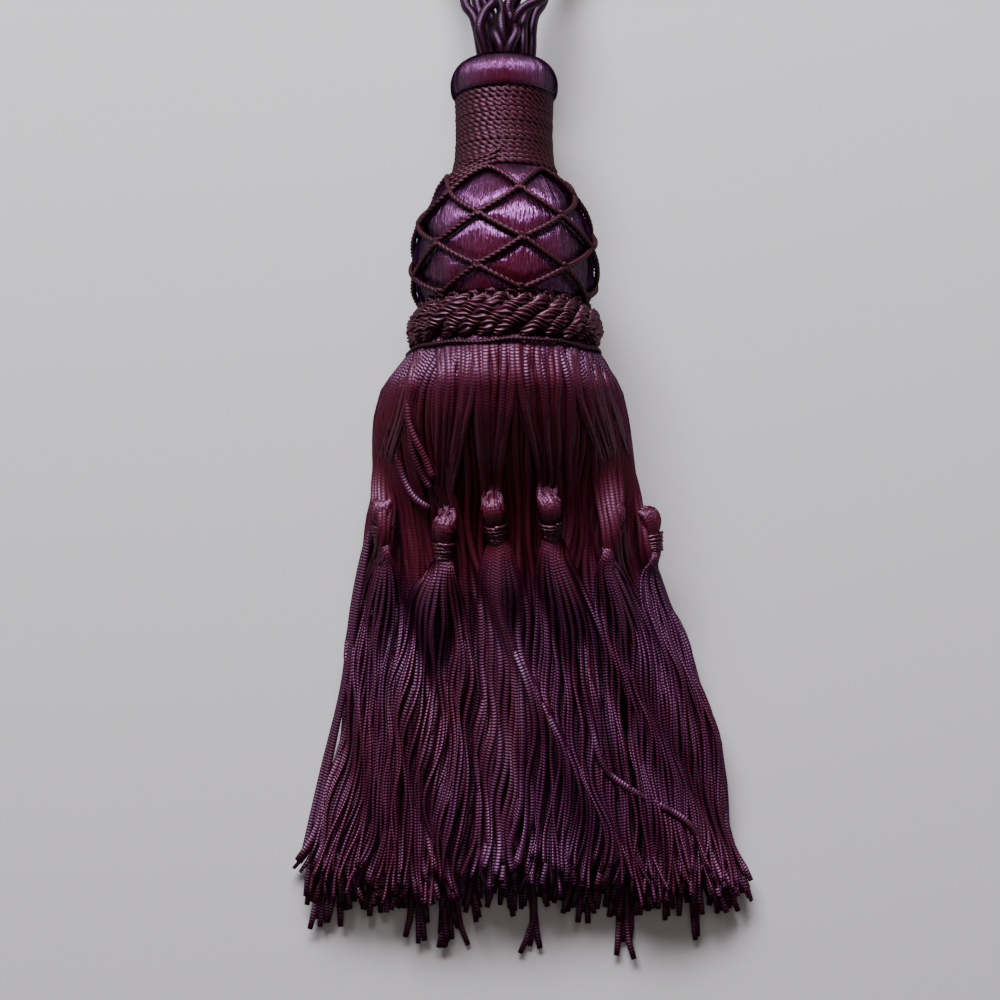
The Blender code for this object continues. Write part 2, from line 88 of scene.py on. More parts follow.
class Hank:
    """Cords or yarns that are joined into one mesh, each laid along its own line."""

    def __init__(self, sides):
        self.sides = sides
        self.points, self.maps, self.tones, self.slacks, self.faces = [], [], [], [], []
        self.count = 0

    def lay(
        self, line, up, thick, wide=1.0, square=1.0, plies=1, grooves=0.0, twist=0.0,
        tone=0.5, slack=1.0, start=0.0, close=False,
    ):
        """Lays one cord: line is its middle, up the way its flat side faces and thick its radius.

        wide is its width for that radius, and a low square makes its section boxy. Where slack is
        low the cord is pulled taut, and its ribs are drawn out smooth."""
        line = np.asarray(line, float)
        rings = len(line)

        def each(value):
            return np.broadcast_to(np.asarray(value, float), (rings,))[:, None]

        def boxy(value, power):
            return np.sign(value) * np.abs(value) ** power

        along = unit(np.roll(line, -1, 0) - np.roll(line, 1, 0) if close else np.gradient(line, axis=0))
        side = unit(np.cross(along, np.broadcast_to(np.asarray(up, float), line.shape)))
        out = np.cross(side, along)
        corner = np.arange(self.sides) / self.sides * 2 * np.pi
        turned = corner + each(twist)
        reach = each(thick) * (1.0 - grooves * np.abs(np.sin(corner * plies / 2)) ** 3)
        across = reach * boxy(np.cos(turned), square) * each(wide)
        rise = reach * boxy(np.sin(turned), 0.4 + 0.6 * square)
        skin = line[:, None] + across[..., None] * side[:, None] + rise[..., None] * out[:, None]
        self.points.append(skin.reshape(-1, 3))
        self.tones.append(np.full(rings * self.sides, tone))
        self.slacks.append(np.repeat(each(slack), self.sides))
        length = start + places_along(line)
        if close:
            length = np.append(length, length[-1] + np.linalg.norm(line[0] - line[-1]))
        ring, place = np.arange(rings if close else rings - 1)[:, None], np.arange(self.sides)
        faces, maps = [], []
        for up_one, round_one in ((0, 0), (1, 0), (1, 1), (0, 1)):
            numbers = (ring + up_one) % rings * self.sides + (place + round_one) % self.sides
            faces.append(self.count + numbers)
            around = place / self.sides * plies + round_one * plies / self.sides
            maps.append(np.stack(np.broadcast_arrays(around, length[ring + up_one]), -1))
        self.faces.extend(np.stack(faces, -1).reshape(-1, 4).tolist())
        self.maps.append(np.stack(maps, 2).reshape(-1, 2))
        if not close:
            first = list(range(self.count, self.count + self.sides))
            last = [number + (rings - 1) * self.sides for number in reversed(first)]
            for end, at in ((first, length[0]), (last, length[-1])):
                self.faces.append(end)
                self.maps.append(np.tile([0.5, at], (self.sides, 1)))
        self.count += rings * self.sides

    def piece(self, name, material, slot):
        """Makes the mesh, gives it its material and hangs it on the part's body."""
        mesh = bpy.data.meshes.new(name)
        mesh.from_pydata(np.concatenate(self.points).tolist(), [], self.faces)
        layer = mesh.uv_layers.new(name="lengthwise")
        layer.data.foreach_set("uv", np.concatenate(self.maps).astype(np.float32).ravel())
        for label, values in (("tone", self.tones), ("slack", self.slacks)):
            attribute = mesh.attributes.new(label, "FLOAT", "POINT")
            attribute.data.foreach_set("value", np.concatenate(values).astype(np.float32))
        # The cut ends stay flat, and only the four-sided faces of the skin are smooth.
        mesh.polygons.foreach_set("use_smooth", [len(face) == 4 for face in self.faces])
        mesh.materials.append(material)
        made = bpy.data.objects.new(name, mesh)
        bpy.context.scene.collection.objects.link(made)
        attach(made, "root")
        return made


def plug(tree, socket, value):
    """Feeds a socket with another node's output, a colour or a plain value."""
    if isinstance(value, bpy.types.NodeSocket):
        tree.links.new(value, socket)
    elif socket.type == "RGBA":
        socket.default_value = (*value, 1.0)
    else:
        socket.default_value = value


def add_node(tree, kind, inputs=(), **settings):
    """A node with its settings and inputs, in rows of eight in the order of making."""
    node = tree.nodes.new(kind)
    made = len(tree.nodes)
    node.location = (made % 8 * 220 - 2400, made // 8 * -340)
    for setting, value in settings.items():
        setattr(node, setting, value)
    for name, value in dict(inputs).items():
        plug(tree, node.inputs[name], value)
    return node


def maths(tree, operation, *values, clamp=False):
    """The output of a Math node of sockets or numbers."""
    node = add_node(tree, "ShaderNodeMath", operation=operation, use_clamp=clamp)
    for socket, value in zip(node.inputs, values):
        plug(tree, socket, value)
    return node.outputs[0]


def blend(tree, share, one, two):
    """The output of a Mix node: colour one where share is 0, colour two where it is 1."""
    inputs = {"Factor": share, "A": one, "B": two}
    return add_node(tree, "ShaderNodeMix", inputs, data_type="RGBA").outputs["Result"]


def mesh_value(tree, name):
    """A value that is kept on the mesh: a cord's tone or its slack."""
    return add_node(tree, "ShaderNodeAttribute", attribute_name=name).outputs["Fac"]


def lengthwise_map(tree):
    """The map of a cord or of laid floss: X goes round it and Y along it, in metres."""
    return add_node(tree, "ShaderNodeUVMap", uv_map="lengthwise").outputs["UV"]


def facing_away(tree):
    """How far the surface turns away, from 0 to 1."""
    return add_node(tree, "ShaderNodeLayerWeight", {"Blend": 0.5}).outputs["Facing"]


def bumped(tree, height, depth):
    """The surface's direction over a bump."""
    inputs = {"Height": height, "Distance": depth, "Strength": 1.0}
    return add_node(tree, "ShaderNodeBump", inputs).outputs["Normal"]


def finish(material, **inputs):
    """Feeds the sockets of a material's surface, named here with _ for a space."""
    surface = material.node_tree.nodes["Principled BSDF"]
    for name, value in inputs.items():
        plug(material.node_tree, surface.inputs[name.replace("_", " ")], value)


# How far a surface has turned away where its gleam begins to fade.
SHADE_START = 0.22


def make_material(name, tint, ior, shade):
    """A dyed rayon: dark and clear in the shade, with a coloured gloss where it turns to the light.

    shade says how soon its edges, where each fibre stands in the next one's shade, lose their gleam."""
    material = bpy.data.materials.new(name)
    material.use_nodes = True
    tree = material.node_tree
    dulled = maths(tree, "MULTIPLY_ADD", facing_away(tree), shade, -SHADE_START * shade, clamp=True)
    finish(material, IOR=ior, Specular_Tint=tint, Metallic=dulled)
    return material


def make_ribs_group():
    """Ribs that run across a yarn or a wrapped cord: their height, and a mask for the painted shade in
    their furrows.
    """
    group = bpy.data.node_groups.new("ribs across a cord", "ShaderNodeTree")
    for name, usual in (("Pitch", 0.00085), ("Slant", 0.3), ("Wander", 0.3)):
        socket = group.interface.new_socket(name, in_out="INPUT", socket_type="NodeSocketFloat")
        socket.default_value = usual
    for name in ("Height", "Painted furrow shade"):
        group.interface.new_socket(name, in_out="OUTPUT", socket_type="NodeSocketFloat")
    given = add_node(group, "NodeGroupInput")
    spot = add_node(group, "ShaderNodeSeparateXYZ", {"Vector": lengthwise_map(group)})
    around, along = spot.outputs["X"], spot.outputs["Y"]
    tone, slack = mesh_value(group, "tone"), mesh_value(group, "slack")
    # The ribs lean one way on one half of a yarn and the other way on the other, like arrowheads.
    folded = maths(group, "FRACT", maths(group, "MULTIPLY", around, 2.0))
    folded = maths(group, "ABSOLUTE", maths(group, "SUBTRACT", folded, 0.5))
    lean = maths(group, "MULTIPLY", folded, given.outputs["Slant"])
    # Their spacing wanders a little along each yarn, and starts anywhere.
    stretch = {"X": maths(group, "MULTIPLY", along, 160.0), "Y": maths(group, "MULTIPLY", tone, 91.0)}
    stretched = add_node(group, "ShaderNodeCombineXYZ", stretch).outputs["Vector"]
    inputs = {"Vector": stretched, "Scale": 1.0}
    uneven = add_node(group, "ShaderNodeTexNoise", inputs, noise_dimensions="2D").outputs["Fac"]
    uneven = maths(group, "MULTIPLY", uneven, given.outputs["Wander"])
    phase = maths(group, "DIVIDE", along, given.outputs["Pitch"])
    for shift in (lean, uneven, maths(group, "MULTIPLY", tone, 37.0)):
        phase = maths(group, "ADD", phase, shift)
    phase = maths(group, "FRACT", phase)
    rise = maths(group, "MULTIPLY", phase, 2.0)
    fall = maths(group, "MULTIPLY", maths(group, "SUBTRACT", 1.0, phase), 2.0)
    height = maths(group, "MINIMUM", rise, fall)
    # Painted shade: the furrows between the ribs get a darker colour than the crests.
    furrow_shade = maths(group, "POWER", maths(group, "SUBTRACT", 1.0, height), 2.0)
    height, furrow_shade = maths(group, "MULTIPLY", height, slack), maths(group, "MULTIPLY", furrow_shade, slack)
    add_node(group, "NodeGroupOutput", {"Height": height, "Painted furrow shade": furrow_shade})
    return group


ribs_group = make_ribs_group()


def make_ribbed(
    name, roughness, tint, ior, shade, pitch, slant, wander, depth, furrow_shade, crest, other_crest,
    patchy=False,
):
    """A rayon with ribs: a bump, painted shade in its furrows, and the colour of its crests. A high tone
    has another crest.

    Where it is patchy, the slack yarns have that other crest in broad patches of the skirt too."""
    material = make_material(name, tint, ior, shade)
    tree = material.node_tree
    given = {"Pitch": pitch, "Slant": slant, "Wander": wander}
    ribs = add_node(tree, "ShaderNodeGroup", given, node_tree=ribs_group)
    share = mesh_value(tree, "tone")
    if patchy:
        spot = add_node(tree, "ShaderNodeTexCoord").outputs["Object"]
        patch = add_node(tree, "ShaderNodeTexNoise", {"Vector": spot, "Scale": 30.0, "Detail": 1.0})
        patch = maths(tree, "MULTIPLY_ADD", patch.outputs["Fac"], 2.4, -1.0)
        share = maths(tree, "MULTIPLY_ADD", share, 0.7, patch, clamp=True)
        share = maths(tree, "MULTIPLY", share, mesh_value(tree, "slack"))
    # The furrows are painted with a darker shade colour through their mask.
    laid = blend(tree, ribs.outputs["Painted furrow shade"], blend(tree, share, crest, other_crest), furrow_shade)
    normal = bumped(tree, ribs.outputs["Height"], depth)
    finish(material, Base_Color=laid, Roughness=roughness, Normal=normal)
    return material


# Each ribbed rayon's furrow colour is painted shade for the valleys between its ribs.
rope_cord = make_ribbed(
    "wrapped cord", roughness=0.38, tint=(0.44, 0.24, 0.49), ior=1.63, shade=1.4,
    pitch=0.00055, slant=0.0, wander=0.2, depth=0.00005,
    furrow_shade=(0.006, 0.0005, 0.002), crest=(0.013, 0.0008, 0.004), other_crest=(0.011, 0.0008, 0.005),
)
# The middle of the rope, from inside the crown round the loop and back, in tenths of a millimetre
# as all the routes below are.
TENTHS = 10000
ROPE_ROUTE = [
    (-41, 1276, 238), (-42, 1346, 233), (-58, 1455, 203), (-98, 1580, 140), (-170, 1710, 80),
    (-290, 1900, 45), (-450, 2170, 38), (-610, 2480, 38), (-710, 2820, 38), (-680, 3150, 38),
    (-500, 3410, 38), (-200, 3540, 38), (120, 3550, 38), (430, 3440, 38), (660, 3200, 38),
    (745, 2880, 38), (680, 2540, 38), (530, 2220, 38), (360, 1940, 44), (225, 1730, 78),
    (135, 1590, 138), (76, 1457, 202), (43, 1346, 233), (41, 1276, 238),
]
# Where the ten cord ends run by the head, from inside the crown outwards: five
# for the rope's first leg and five for its last. Beyond that they are laid up.
CORD_ENDS = [
    [
        [(-48, 1265, 270), (-58, 1304, 282), (-71, 1345, 290), (-69, 1372, 290), (-54, 1408, 282),
         (-30, 1456, 262)],
        [(-60, 1265, 225), (-68, 1310, 228), (-76, 1360, 232), (-89, 1408, 230), (-114, 1456, 214)],
        [(-32, 1265, 200), (-36, 1320, 200), (-50, 1380, 206), (-76, 1440, 202)],
        [(6, 1265, 240), (4, 1310, 256), (-6, 1352, 268), (-10, 1392, 258), (-16, 1450, 216)],
        [(-6, 1265, 280), (-12, 1306, 292), (-26, 1342, 276), (-30, 1372, 236), (-34, 1412, 200),
         (-56, 1456, 190)],
    ],
    [
        [(6, 1265, 292), (18, 1306, 304), (33, 1338, 296), (30, 1372, 266), (18, 1402, 246),
         (20, 1456, 240)],
        [(50, 1265, 248), (53, 1310, 256), (54, 1356, 248), (58, 1400, 226), (78, 1456, 205)],
        [(26, 1265, 215), (26, 1320, 232), (28, 1372, 272), (52, 1414, 284), (108, 1448, 262),
         (150, 1500, 215)],
        [(74, 1265, 205), (80, 1320, 212), (81, 1370, 210), (90, 1420, 200), (116, 1470, 180)],
        [(30, 1265, 190), (18, 1330, 192), (12, 1395, 194), (30, 1450, 190), (56, 1500, 185)],
    ],
]
ROPE_CORDS, ROPE_CORD_RADIUS, ROPE_LAY, ROPE_STEP = 5, 0.0015, 0.034, 0.0016
PARTING, LAID_UP = 0.036, 0.060
rope_line = smooth_line(np.array(ROPE_ROUTE) / TENTHS, ROPE_STEP)
rope_along = unit(np.gradient(rope_line, axis=0))
rope_side = unit(np.cross(rope_along, UPWARDS))
rope_out = np.cross(rope_side, rope_along)
parted, laid = int(round(PARTING / ROPE_STEP)), int(round(LAID_UP / ROPE_STEP))
helices = []
for cord in range(ROPE_CORDS):
    turn = 2 * math.pi * (places_along(rope_line) / ROPE_LAY + cord / (ROPE_CORDS - 1))
    spread = rope_side * np.cos(turn)[:, None] + rope_out * np.sin(turn)[:, None]
    # The last cord is the straight one in the middle.
    helices.append(rope_line + ROPE_CORD_RADIUS * math.sqrt(2) * (cord < ROPE_CORDS - 1) * spread)
routes = [helix[parted:-parted:3] for helix in helices]
for leg, ends in enumerate(CORD_ENDS):
    free = list(range(ROPE_CORDS))
    at = parted if leg == 0 else -parted - 1
    for end in (np.array(route) / TENTHS for route in ends):
        near = min(free, key=lambda cord: abs(helices[cord][at][0] - end[-1][0]))
        free.remove(near)
        routes[near] = np.vstack([end, routes[near]] if leg == 0 else [routes[near], end[::-1]])
rope, rope_ends = Hank(12), Hank(12)
for cord, route in enumerate(routes):
    line = smooth_line(route, ROPE_STEP)
    first = int(np.argmin(np.linalg.norm(line - helices[cord][laid], axis=1)))
    last = int(np.argmin(np.linalg.norm(line - helices[cord][-laid - 1], axis=1)))
    places = places_along(line)
    tone = (cord * 0.37) % 1.0
    rope.lay(line[first : last + 1], UPWARDS, ROPE_CORD_RADIUS, tone=tone, start=places[first])
    # The ends run on a little way inside the rope, thinner than its cords.
    thick = np.full(len(line), ROPE_CORD_RADIUS)
    thick[first + 1 : last] *= 0.97
    for stretch in (slice(0, first + 3), slice(last - 2, None)):
        rope_ends.lay(line[stretch], UPWARDS, thick[stretch], tone=tone, start=places[stretch][0])
rope_piece = rope.piece("rope_cords", rope_cord, "rope")
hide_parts("rope_loop")
rope_ends.piece("rope_cord_ends", rope_cord, "rope")

# ------------------------------------------------------------- The head's cap
# A turned knob of wood at the crown, covered with rayon floss that is laid
# from the hole in the middle over the shoulder and glued under the edge.
CAP_RINGS, CAP_SIDES = 44, 240


def own_points(node):
    """Every corner of a CAD node, once."""
    points = {tuple(round(value, 7) for value in vert.co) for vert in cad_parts[node].data.vertices}
    return np.array(sorted(points))


collar_middle = Vector(own_points("collar").mean(axis=0))
head_axis = (Vector(own_points("cap").mean(axis=0)) - collar_middle).normalized()
head_up = Vector((1.0, 0.0, 0.0)).cross(head_axis)
head_place = Matrix.Translation(collar_middle) @ Matrix((
    (1.0, -head_up.x, head_axis.x, 0.0),
    (0.0, -head_up.y, head_axis.y, 0.0),
    (0.0, -head_up.z, head_axis.z, 0.0),
    (0.0, 0.0, 0.0, 1.0),
))
HEAD_MIDDLE, HEAD_ACROSS = np.array(collar_middle), np.array((1.0, 0.0, 0.0))
HEAD_UP, HEAD_AXIS = np.array(head_up), np.array(head_axis)


def together(*values):
    """Numbers and arrays brought to one shape."""
    return (np.asarray(value, float) for value in np.broadcast_arrays(*values))


def on_head(turn, radius, height):
    """Points round the head's axis: turn is from straight up towards +X, height from its middle."""
    turn, radius, height = together(turn, radius, height)
    outward = np.sin(turn)[..., None] * HEAD_ACROSS + np.cos(turn)[..., None] * HEAD_UP
    return HEAD_MIDDLE + outward * radius[..., None] + height[..., None] * HEAD_AXIS


def from_axis(points):
    """The points' heights along the head's axis, and their ways out from it."""
    from_middle = points - HEAD_MIDDLE
    heights = from_middle @ HEAD_AXIS
    return heights, from_middle - heights[:, None] * HEAD_AXIS


def profile_of(node):
    """A turned node's heights and radii, from its crown to its base, without the middle of its ends."""
    heights, outward = from_axis(own_points(node))
    radii = np.linalg.norm(outward, axis=1)
    rings = sorted({(-round(height, 5), round(radius, 5)) for height, radius in zip(heights, radii)})
    return [(-height, radius) for height, radius in rings if radius > 1e-4]


def smooth_profile(profile, count):
    """A profile with evenly spaced points on a smooth curve through its own."""
    points = smooth_line([(radius, 0.0, height) for height, radius in profile], 0.0001)
    pick = np.linspace(0, len(points) - 1, count).round().astype(int)
    return [(float(points[i][2]), max(float(points[i][0]), 0.0001)) for i in pick]


def turn_piece(name, profile, steps):
    """A closed turned shape: a disc at the crown end, extruded and resized from ring to ring."""
    bpy.ops.object.select_all(action="DESELECT")
    height, radius = profile[0]
    bpy.ops.mesh.primitive_circle_add(
        vertices=steps, radius=radius, fill_type="NGON", location=(0, 0, height)
    )
    piece = bpy.context.object
    piece.name = name
    bpy.ops.object.transform_apply(location=True)
    bpy.ops.object.mode_set(mode="EDIT")
    bpy.ops.mesh.select_all(action="SELECT")
    for (height, radius), (next_height, next_radius) in zip(profile, profile[1:]):
        bpy.ops.mesh.extrude_region_move(TRANSFORM_OT_translate={"value": (0, 0, next_height - height)})
        scale = next_radius / radius
        bpy.ops.transform.resize(value=(scale, scale, 1), center_override=(0, 0, next_height))
    bpy.ops.mesh.select_all(action="SELECT")
    bpy.ops.mesh.normals_make_consistent(inside=False)
    bpy.ops.object.mode_set(mode="OBJECT")
    return piece


def lay_floss(piece, depth, fibres, seed):
    """Gives a turned piece fine lengthwise ridges, and maps it along them."""
    mesh = piece.data
    for vert in mesh.vertices:
        turn = math.atan2(vert.co.x, -vert.co.y)
        spot = (math.cos(turn) * fibres, math.sin(turn) * fibres, vert.co.z * 25 + seed)
        ridge = noise.noise(spot) + 0.5 * noise.noise([value * 2.3 for value in spot])
        radius = math.hypot(vert.co.x, vert.co.y)
        if radius > 1e-5:
            vert.co.x *= 1 + depth * ridge / radius
            vert.co.y *= 1 + depth * ridge / radius
    layer = mesh.uv_layers.new(name="lengthwise")
    for face in mesh.polygons:
        spots = [mesh.vertices[number].co for number in face.vertices]
        turns = [math.atan2(spot.x, -spot.y) / (2 * math.pi) for spot in spots]
        seam = max(turns) - min(turns) > 0.5
        for corner, turn, spot in zip(face.loop_indices, turns, spots):
            layer.data[corner].uv = (turn + 1 if seam and turn < 0 else turn, spot.z)
    mesh.shade_smooth()


def stand_on_head(piece, material):
    """Puts a turned piece in its place, gives it its material and hangs it on the part's body."""
    piece.data.transform(head_place)
    piece.data.materials.append(material)
    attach(piece, "root")


def make_floss_material():
    """Rayon floss laid side by side: fine fibres that catch the light in jagged streaks."""
    material = make_material("satin floss", (0.35, 0.130, 0.39), 2.6, 2.2)
    tree = material.node_tree
    uv = lengthwise_map(tree)
    noises = []
    for count, (across, along) in enumerate(((240.0, 200.0), (460.0, 420.0), (300.0, 40.0))):
        moved = (count * 3.1, count * 1.7, 0.0)
        inputs = {"Vector": uv, "Scale": (across, along, 1.0), "Location": moved}
        spot = add_node(tree, "ShaderNodeMapping", inputs).outputs["Vector"]
        inputs = {"Vector": spot, "Scale": 1.0, "Detail": 2.0}
        noises.append(add_node(tree, "ShaderNodeTexNoise", inputs, noise_dimensions="2D").outputs["Fac"])
    coarse, fine, streaks = noises
    colour = blend(tree, fine, (0.028, 0.001, 0.003), (0.068, 0.005, 0.010))
    # Painted shade: where the surface turns away its colour is darkened, as if each fibre stood in the
    # next one's shade.
    turned = facing_away(tree)
    painted_shade = maths(tree, "MULTIPLY", maths(tree, "POWER", turned, 0.8), 1.6, clamp=True)
    streaked = maths(tree, "MULTIPLY_ADD", streaks, 0.50, -0.02)
    finish(
        material,
        Base_Color=blend(tree, painted_shade, colour, (0.016, 0.002, 0.009)),
        Roughness=maths(tree, "MULTIPLY_ADD", maths(tree, "POWER", turned, 3.0), 0.4, streaked),
        Normal=bumped(tree, maths(tree, "ADD", coarse, fine), 0.00028),
        Anisotropic=0.4,
    )
    return material


floss = make_floss_material()
cap = turn_piece("floss_cap", smooth_profile(profile_of("cap"), CAP_RINGS), CAP_SIDES)
lay_floss(cap, depth=0.00012, fibres=9.0, seed=3.0)
stand_on_head(cap, floss)
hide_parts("cap")

# ---------------------------------------------------------- The neck's winding
# Fine three-ply cord wound round the neck in close turns, from under the cap
# down onto the shoulder of the bulb. It is glued over a first layer of cord.
CORD_RADIUS, CORD_LAY = 0.00072, 0.0048
NECK_PITCH, NECK_STEP, NECK_RADIUS = 0.00136, 0.00045, 0.0142
CORE_SUNK, CORE_LONGER, CORE_SIDES = 0.0009, 0.0022, 64


def paint_groove_shade(material, colour):
    """Paints shade into a twisted cord's colour: darker in the grooves where its plies lie against each
    other.
    """
    tree = material.node_tree
    laid = tree.nodes["Principled BSDF"].inputs["Base Color"].links[0].from_socket
    around = add_node(tree, "ShaderNodeSeparateXYZ", {"Vector": lengthwise_map(tree)}).outputs["X"]
    groove_shade = maths(tree, "ABSOLUTE", maths(tree, "SINE", maths(tree, "MULTIPLY", around, math.pi)))
    finish(material, Base_Color=blend(tree, maths(tree, "POWER", groove_shade, 2.4), laid, colour))


def lay_twisted(hank, line, outward, thick, grooves=0.36, lay=CORD_LAY, turned=0.0, plies=3, **rest):
    """Lays a cord that is twisted of its plies, once round in each lay."""
    twist = -2 * np.pi * places_along(line) / lay + turned
    hank.lay(line, outward, thick, grooves=grooves, twist=twist, plies=plies, **rest)


def rising(profile):
    """A profile's heights and radii from its base to its crown."""
    return np.array(profile[::-1]).T


twisted_cord = make_ribbed(
    "twisted cord", roughness=0.52, tint=(0.43, 0.22, 0.31), ior=1.75, shade=1.4,
    pitch=0.0009, slant=0.0, wander=0.6, depth=0.00001,
    furrow_shade=(0.014, 0.0010, 0.003), crest=(0.015, 0.0010, 0.003), other_crest=(0.066, 0.0036, 0.013),
)
# Painted shade: a near-black colour in the grooves between the plies.
paint_groove_shade(twisted_cord, (0.005, 0.0005, 0.001))
neck_profile = profile_of("neck_winding")
neck_heights, neck_radii = rising(neck_profile)
neck_top, neck_base = neck_heights[-1] + CORD_RADIUS * 0.5, neck_heights[0] - CORD_RADIUS * 0.5
neck_turns = (neck_top - neck_base) / NECK_PITCH
share = np.linspace(0.0, 1.0, int(2 * math.pi * NECK_RADIUS * neck_turns / NECK_STEP))
height = neck_top + (neck_base - neck_top) * share
turn = 2 * np.pi * neck_turns * share
wobble = 0.00006 * np.sin(turn * 1.31) + 0.00004 * np.sin(turn * 0.47 + 1.0)
radius = np.interp(height, neck_heights, neck_radii) - CORD_RADIUS * 0.75 + wobble * 0.6
line = on_head(turn, radius, height + wobble)
winding = Hank(15)
winding.lay(
    line, line - on_head(turn, 0.0, height), CORD_RADIUS * 1.15, wide=1.12, square=0.42,
    plies=3, grooves=0.40, twist=-13.0 * turn + 0.5 * np.sin(turn * 0.21), tone=0.6,
)
winding_piece = winding.piece("neck_cord", twisted_cord, "twisted_cord")
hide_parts("neck_winding")
core_profile = [(height, radius - CORE_SUNK) for height, radius in neck_profile]
core_profile.append((core_profile[-1][0] - CORE_LONGER, core_profile[-1][1]))
neck_core = turn_piece("neck_core", core_profile, CORE_SIDES)
neck_core.data.uv_layers[0].name = "lengthwise"
stand_on_head(neck_core, twisted_cord)

# ------------------------------------------------------------------- The bulb
# The main turned form, covered with floss like the cap. Its lower end narrows
# to the seat that the collar is wound on.
BULB_RINGS, BULB_SIDES = 60, 256
bulb_profile = profile_of("bulb")
bulb_heights, bulb_radii = rising(bulb_profile)
bulb = turn_piece("floss_bulb", smooth_profile(bulb_profile, BULB_RINGS), BULB_SIDES)
lay_floss(bulb, depth=0.00016, fibres=11.0, seed=8.0)
stand_on_head(bulb, floss)
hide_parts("bulb")

# -------------------------------------------------------------------- The net
# Fine twisted cord looped round the bulb in rows of half hitches, so that it
# hangs in shallow scallops from small knots where the rows cross.
NET_CELLS, NET_TURN, NET_SQUEEZE, NET_SAG = 6, math.radians(12), 0.08, 0.0004
NET_RADIUS, NET_GROOVES = CORD_RADIUS * 1.25, 0.32
KNOT_REACH, KNOT_BULB_RADIUS, KNOT_DIVE = 0.0011, 0.025, 0.0009
SLIPPED_TURNS, SLIPPED_END = 3, 0.35
PRESS_DEPTH, PRESS_HALF, PRESS_FADE = 0.0006, 0.0006, 0.0016
NetRing = namedtuple("NetRing", "height half_turned")
NET_RINGS = [
    NetRing(0.0430, True),
    NetRing(0.0364, False),
    NetRing(0.0284, True),
    NetRing(0.0211, False),
    NetRing(0.0136, True),
    NetRing(0.0072, False),
]


def crossing(ring, cell):
    """The height and turn of a knot; the cells at the front are drawn a little together."""
    turn = NET_TURN + (cell + (0.5 if ring.half_turned else 0.0)) * 2 * math.pi / NET_CELLS
    return ring.height, turn - NET_SQUEEZE * math.sin(turn)


def over_bulb(turn, height, lift):
    """Points lifted off the bulb, or off the neck's winding above it, and the way out from there."""
    radius = np.interp(height, bulb_heights, bulb_radii)
    radius = np.where(height > bulb_heights[-1], np.interp(height, neck_heights, neck_radii), radius)
    line = on_head(turn, radius + CORD_RADIUS * lift, height)
    return line, line - on_head(turn, 0.0, height)


def lay_net_cord(turn, height):
    """Lays one of the net's cords over the bulb."""
    line, outward = over_bulb(turn, height, 0.85)
    net_lines.append(line)
    lay_twisted(net, line, outward, NET_RADIUS, NET_GROOVES)


net = Hank(12)
net_lines = []
share = np.linspace(0.0, 1.0, 36)
for above, below in zip(NET_RINGS[1:], NET_RINGS[2:]):
    for cell in range(NET_CELLS):
        for step in (0, 1) if above.half_turned else (0, -1):
            one, two = crossing(above, cell), crossing(below, cell + step)
            sunk = NET_SAG * 4 * share * (1 - share)
            lay_net_cord(one[1] + (two[1] - one[1]) * share, one[0] + (two[0] - one[0]) * share - sunk)
share = np.linspace(-1.0, 1.0, 64)
for cell in range(NET_CELLS):
    left, top, right = (crossing(NET_RINGS[row], cell + on) for row, on in ((1, 0), (0, 0), (1, 1)))
    turn = top[1] + np.where(share < 0, top[1] - left[1], right[1] - top[1]) * share
    lay_net_cord(turn, top[0] - (top[0] - left[0]) * np.abs(share) ** 1.7)
# The winding's last turns slip down beside the first loops of the net.
left, top = crossing(NET_RINGS[1], NET_CELLS - 1), crossing(NET_RINGS[0], NET_CELLS - 1)
share = np.linspace(-1.0, SLIPPED_END, 50)
for count in range(1, SLIPPED_TURNS + 1):
    drop = (top[0] - left[0] - 0.0004 * count) * np.abs(np.minimum(share, 0.0)) ** 1.6
    turn = top[1] + (top[1] - left[1] + 0.10 * count) * share
    sunk = np.maximum(share, 0.0) / SLIPPED_END
    height = top[0] + 0.00125 * count - drop + 0.0009 * count * sunk
    line, outward = over_bulb(turn, height, 0.9 - 2.4 * sunk**2)
    lay_twisted(net, line, outward, CORD_RADIUS * 1.1, NET_GROOVES, turned=count, tone=0.6)
share = np.linspace(-1.0, 1.0, 14)
for ring in NET_RINGS[1:]:
    for cell in range(NET_CELLS):
        height, turn = crossing(ring, cell)
        for step in (-0.45, 0.45):
            bow = 0.0005 * (1 - share**2)
            heights = height + step * KNOT_REACH - 0.0004 * share + bow * step
            line, outward = over_bulb(turn + KNOT_REACH / KNOT_BULB_RADIUS * share, heights, 1.5)
            line -= unit(outward) * (KNOT_DIVE * share**4)[:, None]
            lay_twisted(net, line, outward, CORD_RADIUS * 0.8, lay=CORD_LAY * 0.8, tone=0.7)
net_piece = net.piece("net_cords", twisted_cord, "twisted_cord")
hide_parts("net")

# The floss swells a little through the net: each cord lies in a groove.
pressed = np.vstack(net_lines)
spots = np.empty(len(bulb.data.vertices) * 3)
bulb.data.vertices.foreach_get("co", spots)
spots = spots.reshape(-1, 3)
nearest = np.full(len(spots), 1.0)
for start in range(0, len(pressed), 200):
    apart = np.linalg.norm(spots[:, None, :] - pressed[None, start : start + 200, :], axis=2).min(axis=1)
    nearest = np.minimum(nearest, apart)
heights, outward = from_axis(spots)
pressing = PRESS_DEPTH * np.exp(-((np.maximum(nearest - PRESS_HALF, 0.0) / PRESS_FADE) ** 2))
inside = (heights > bulb_heights[0] + 0.0005) & (heights < bulb_heights[-1] - 0.0005)
spots -= unit(outward) * (pressing * inside)[:, None]
bulb.data.vertices.foreach_set("co", spots.ravel())
bulb.data.update()

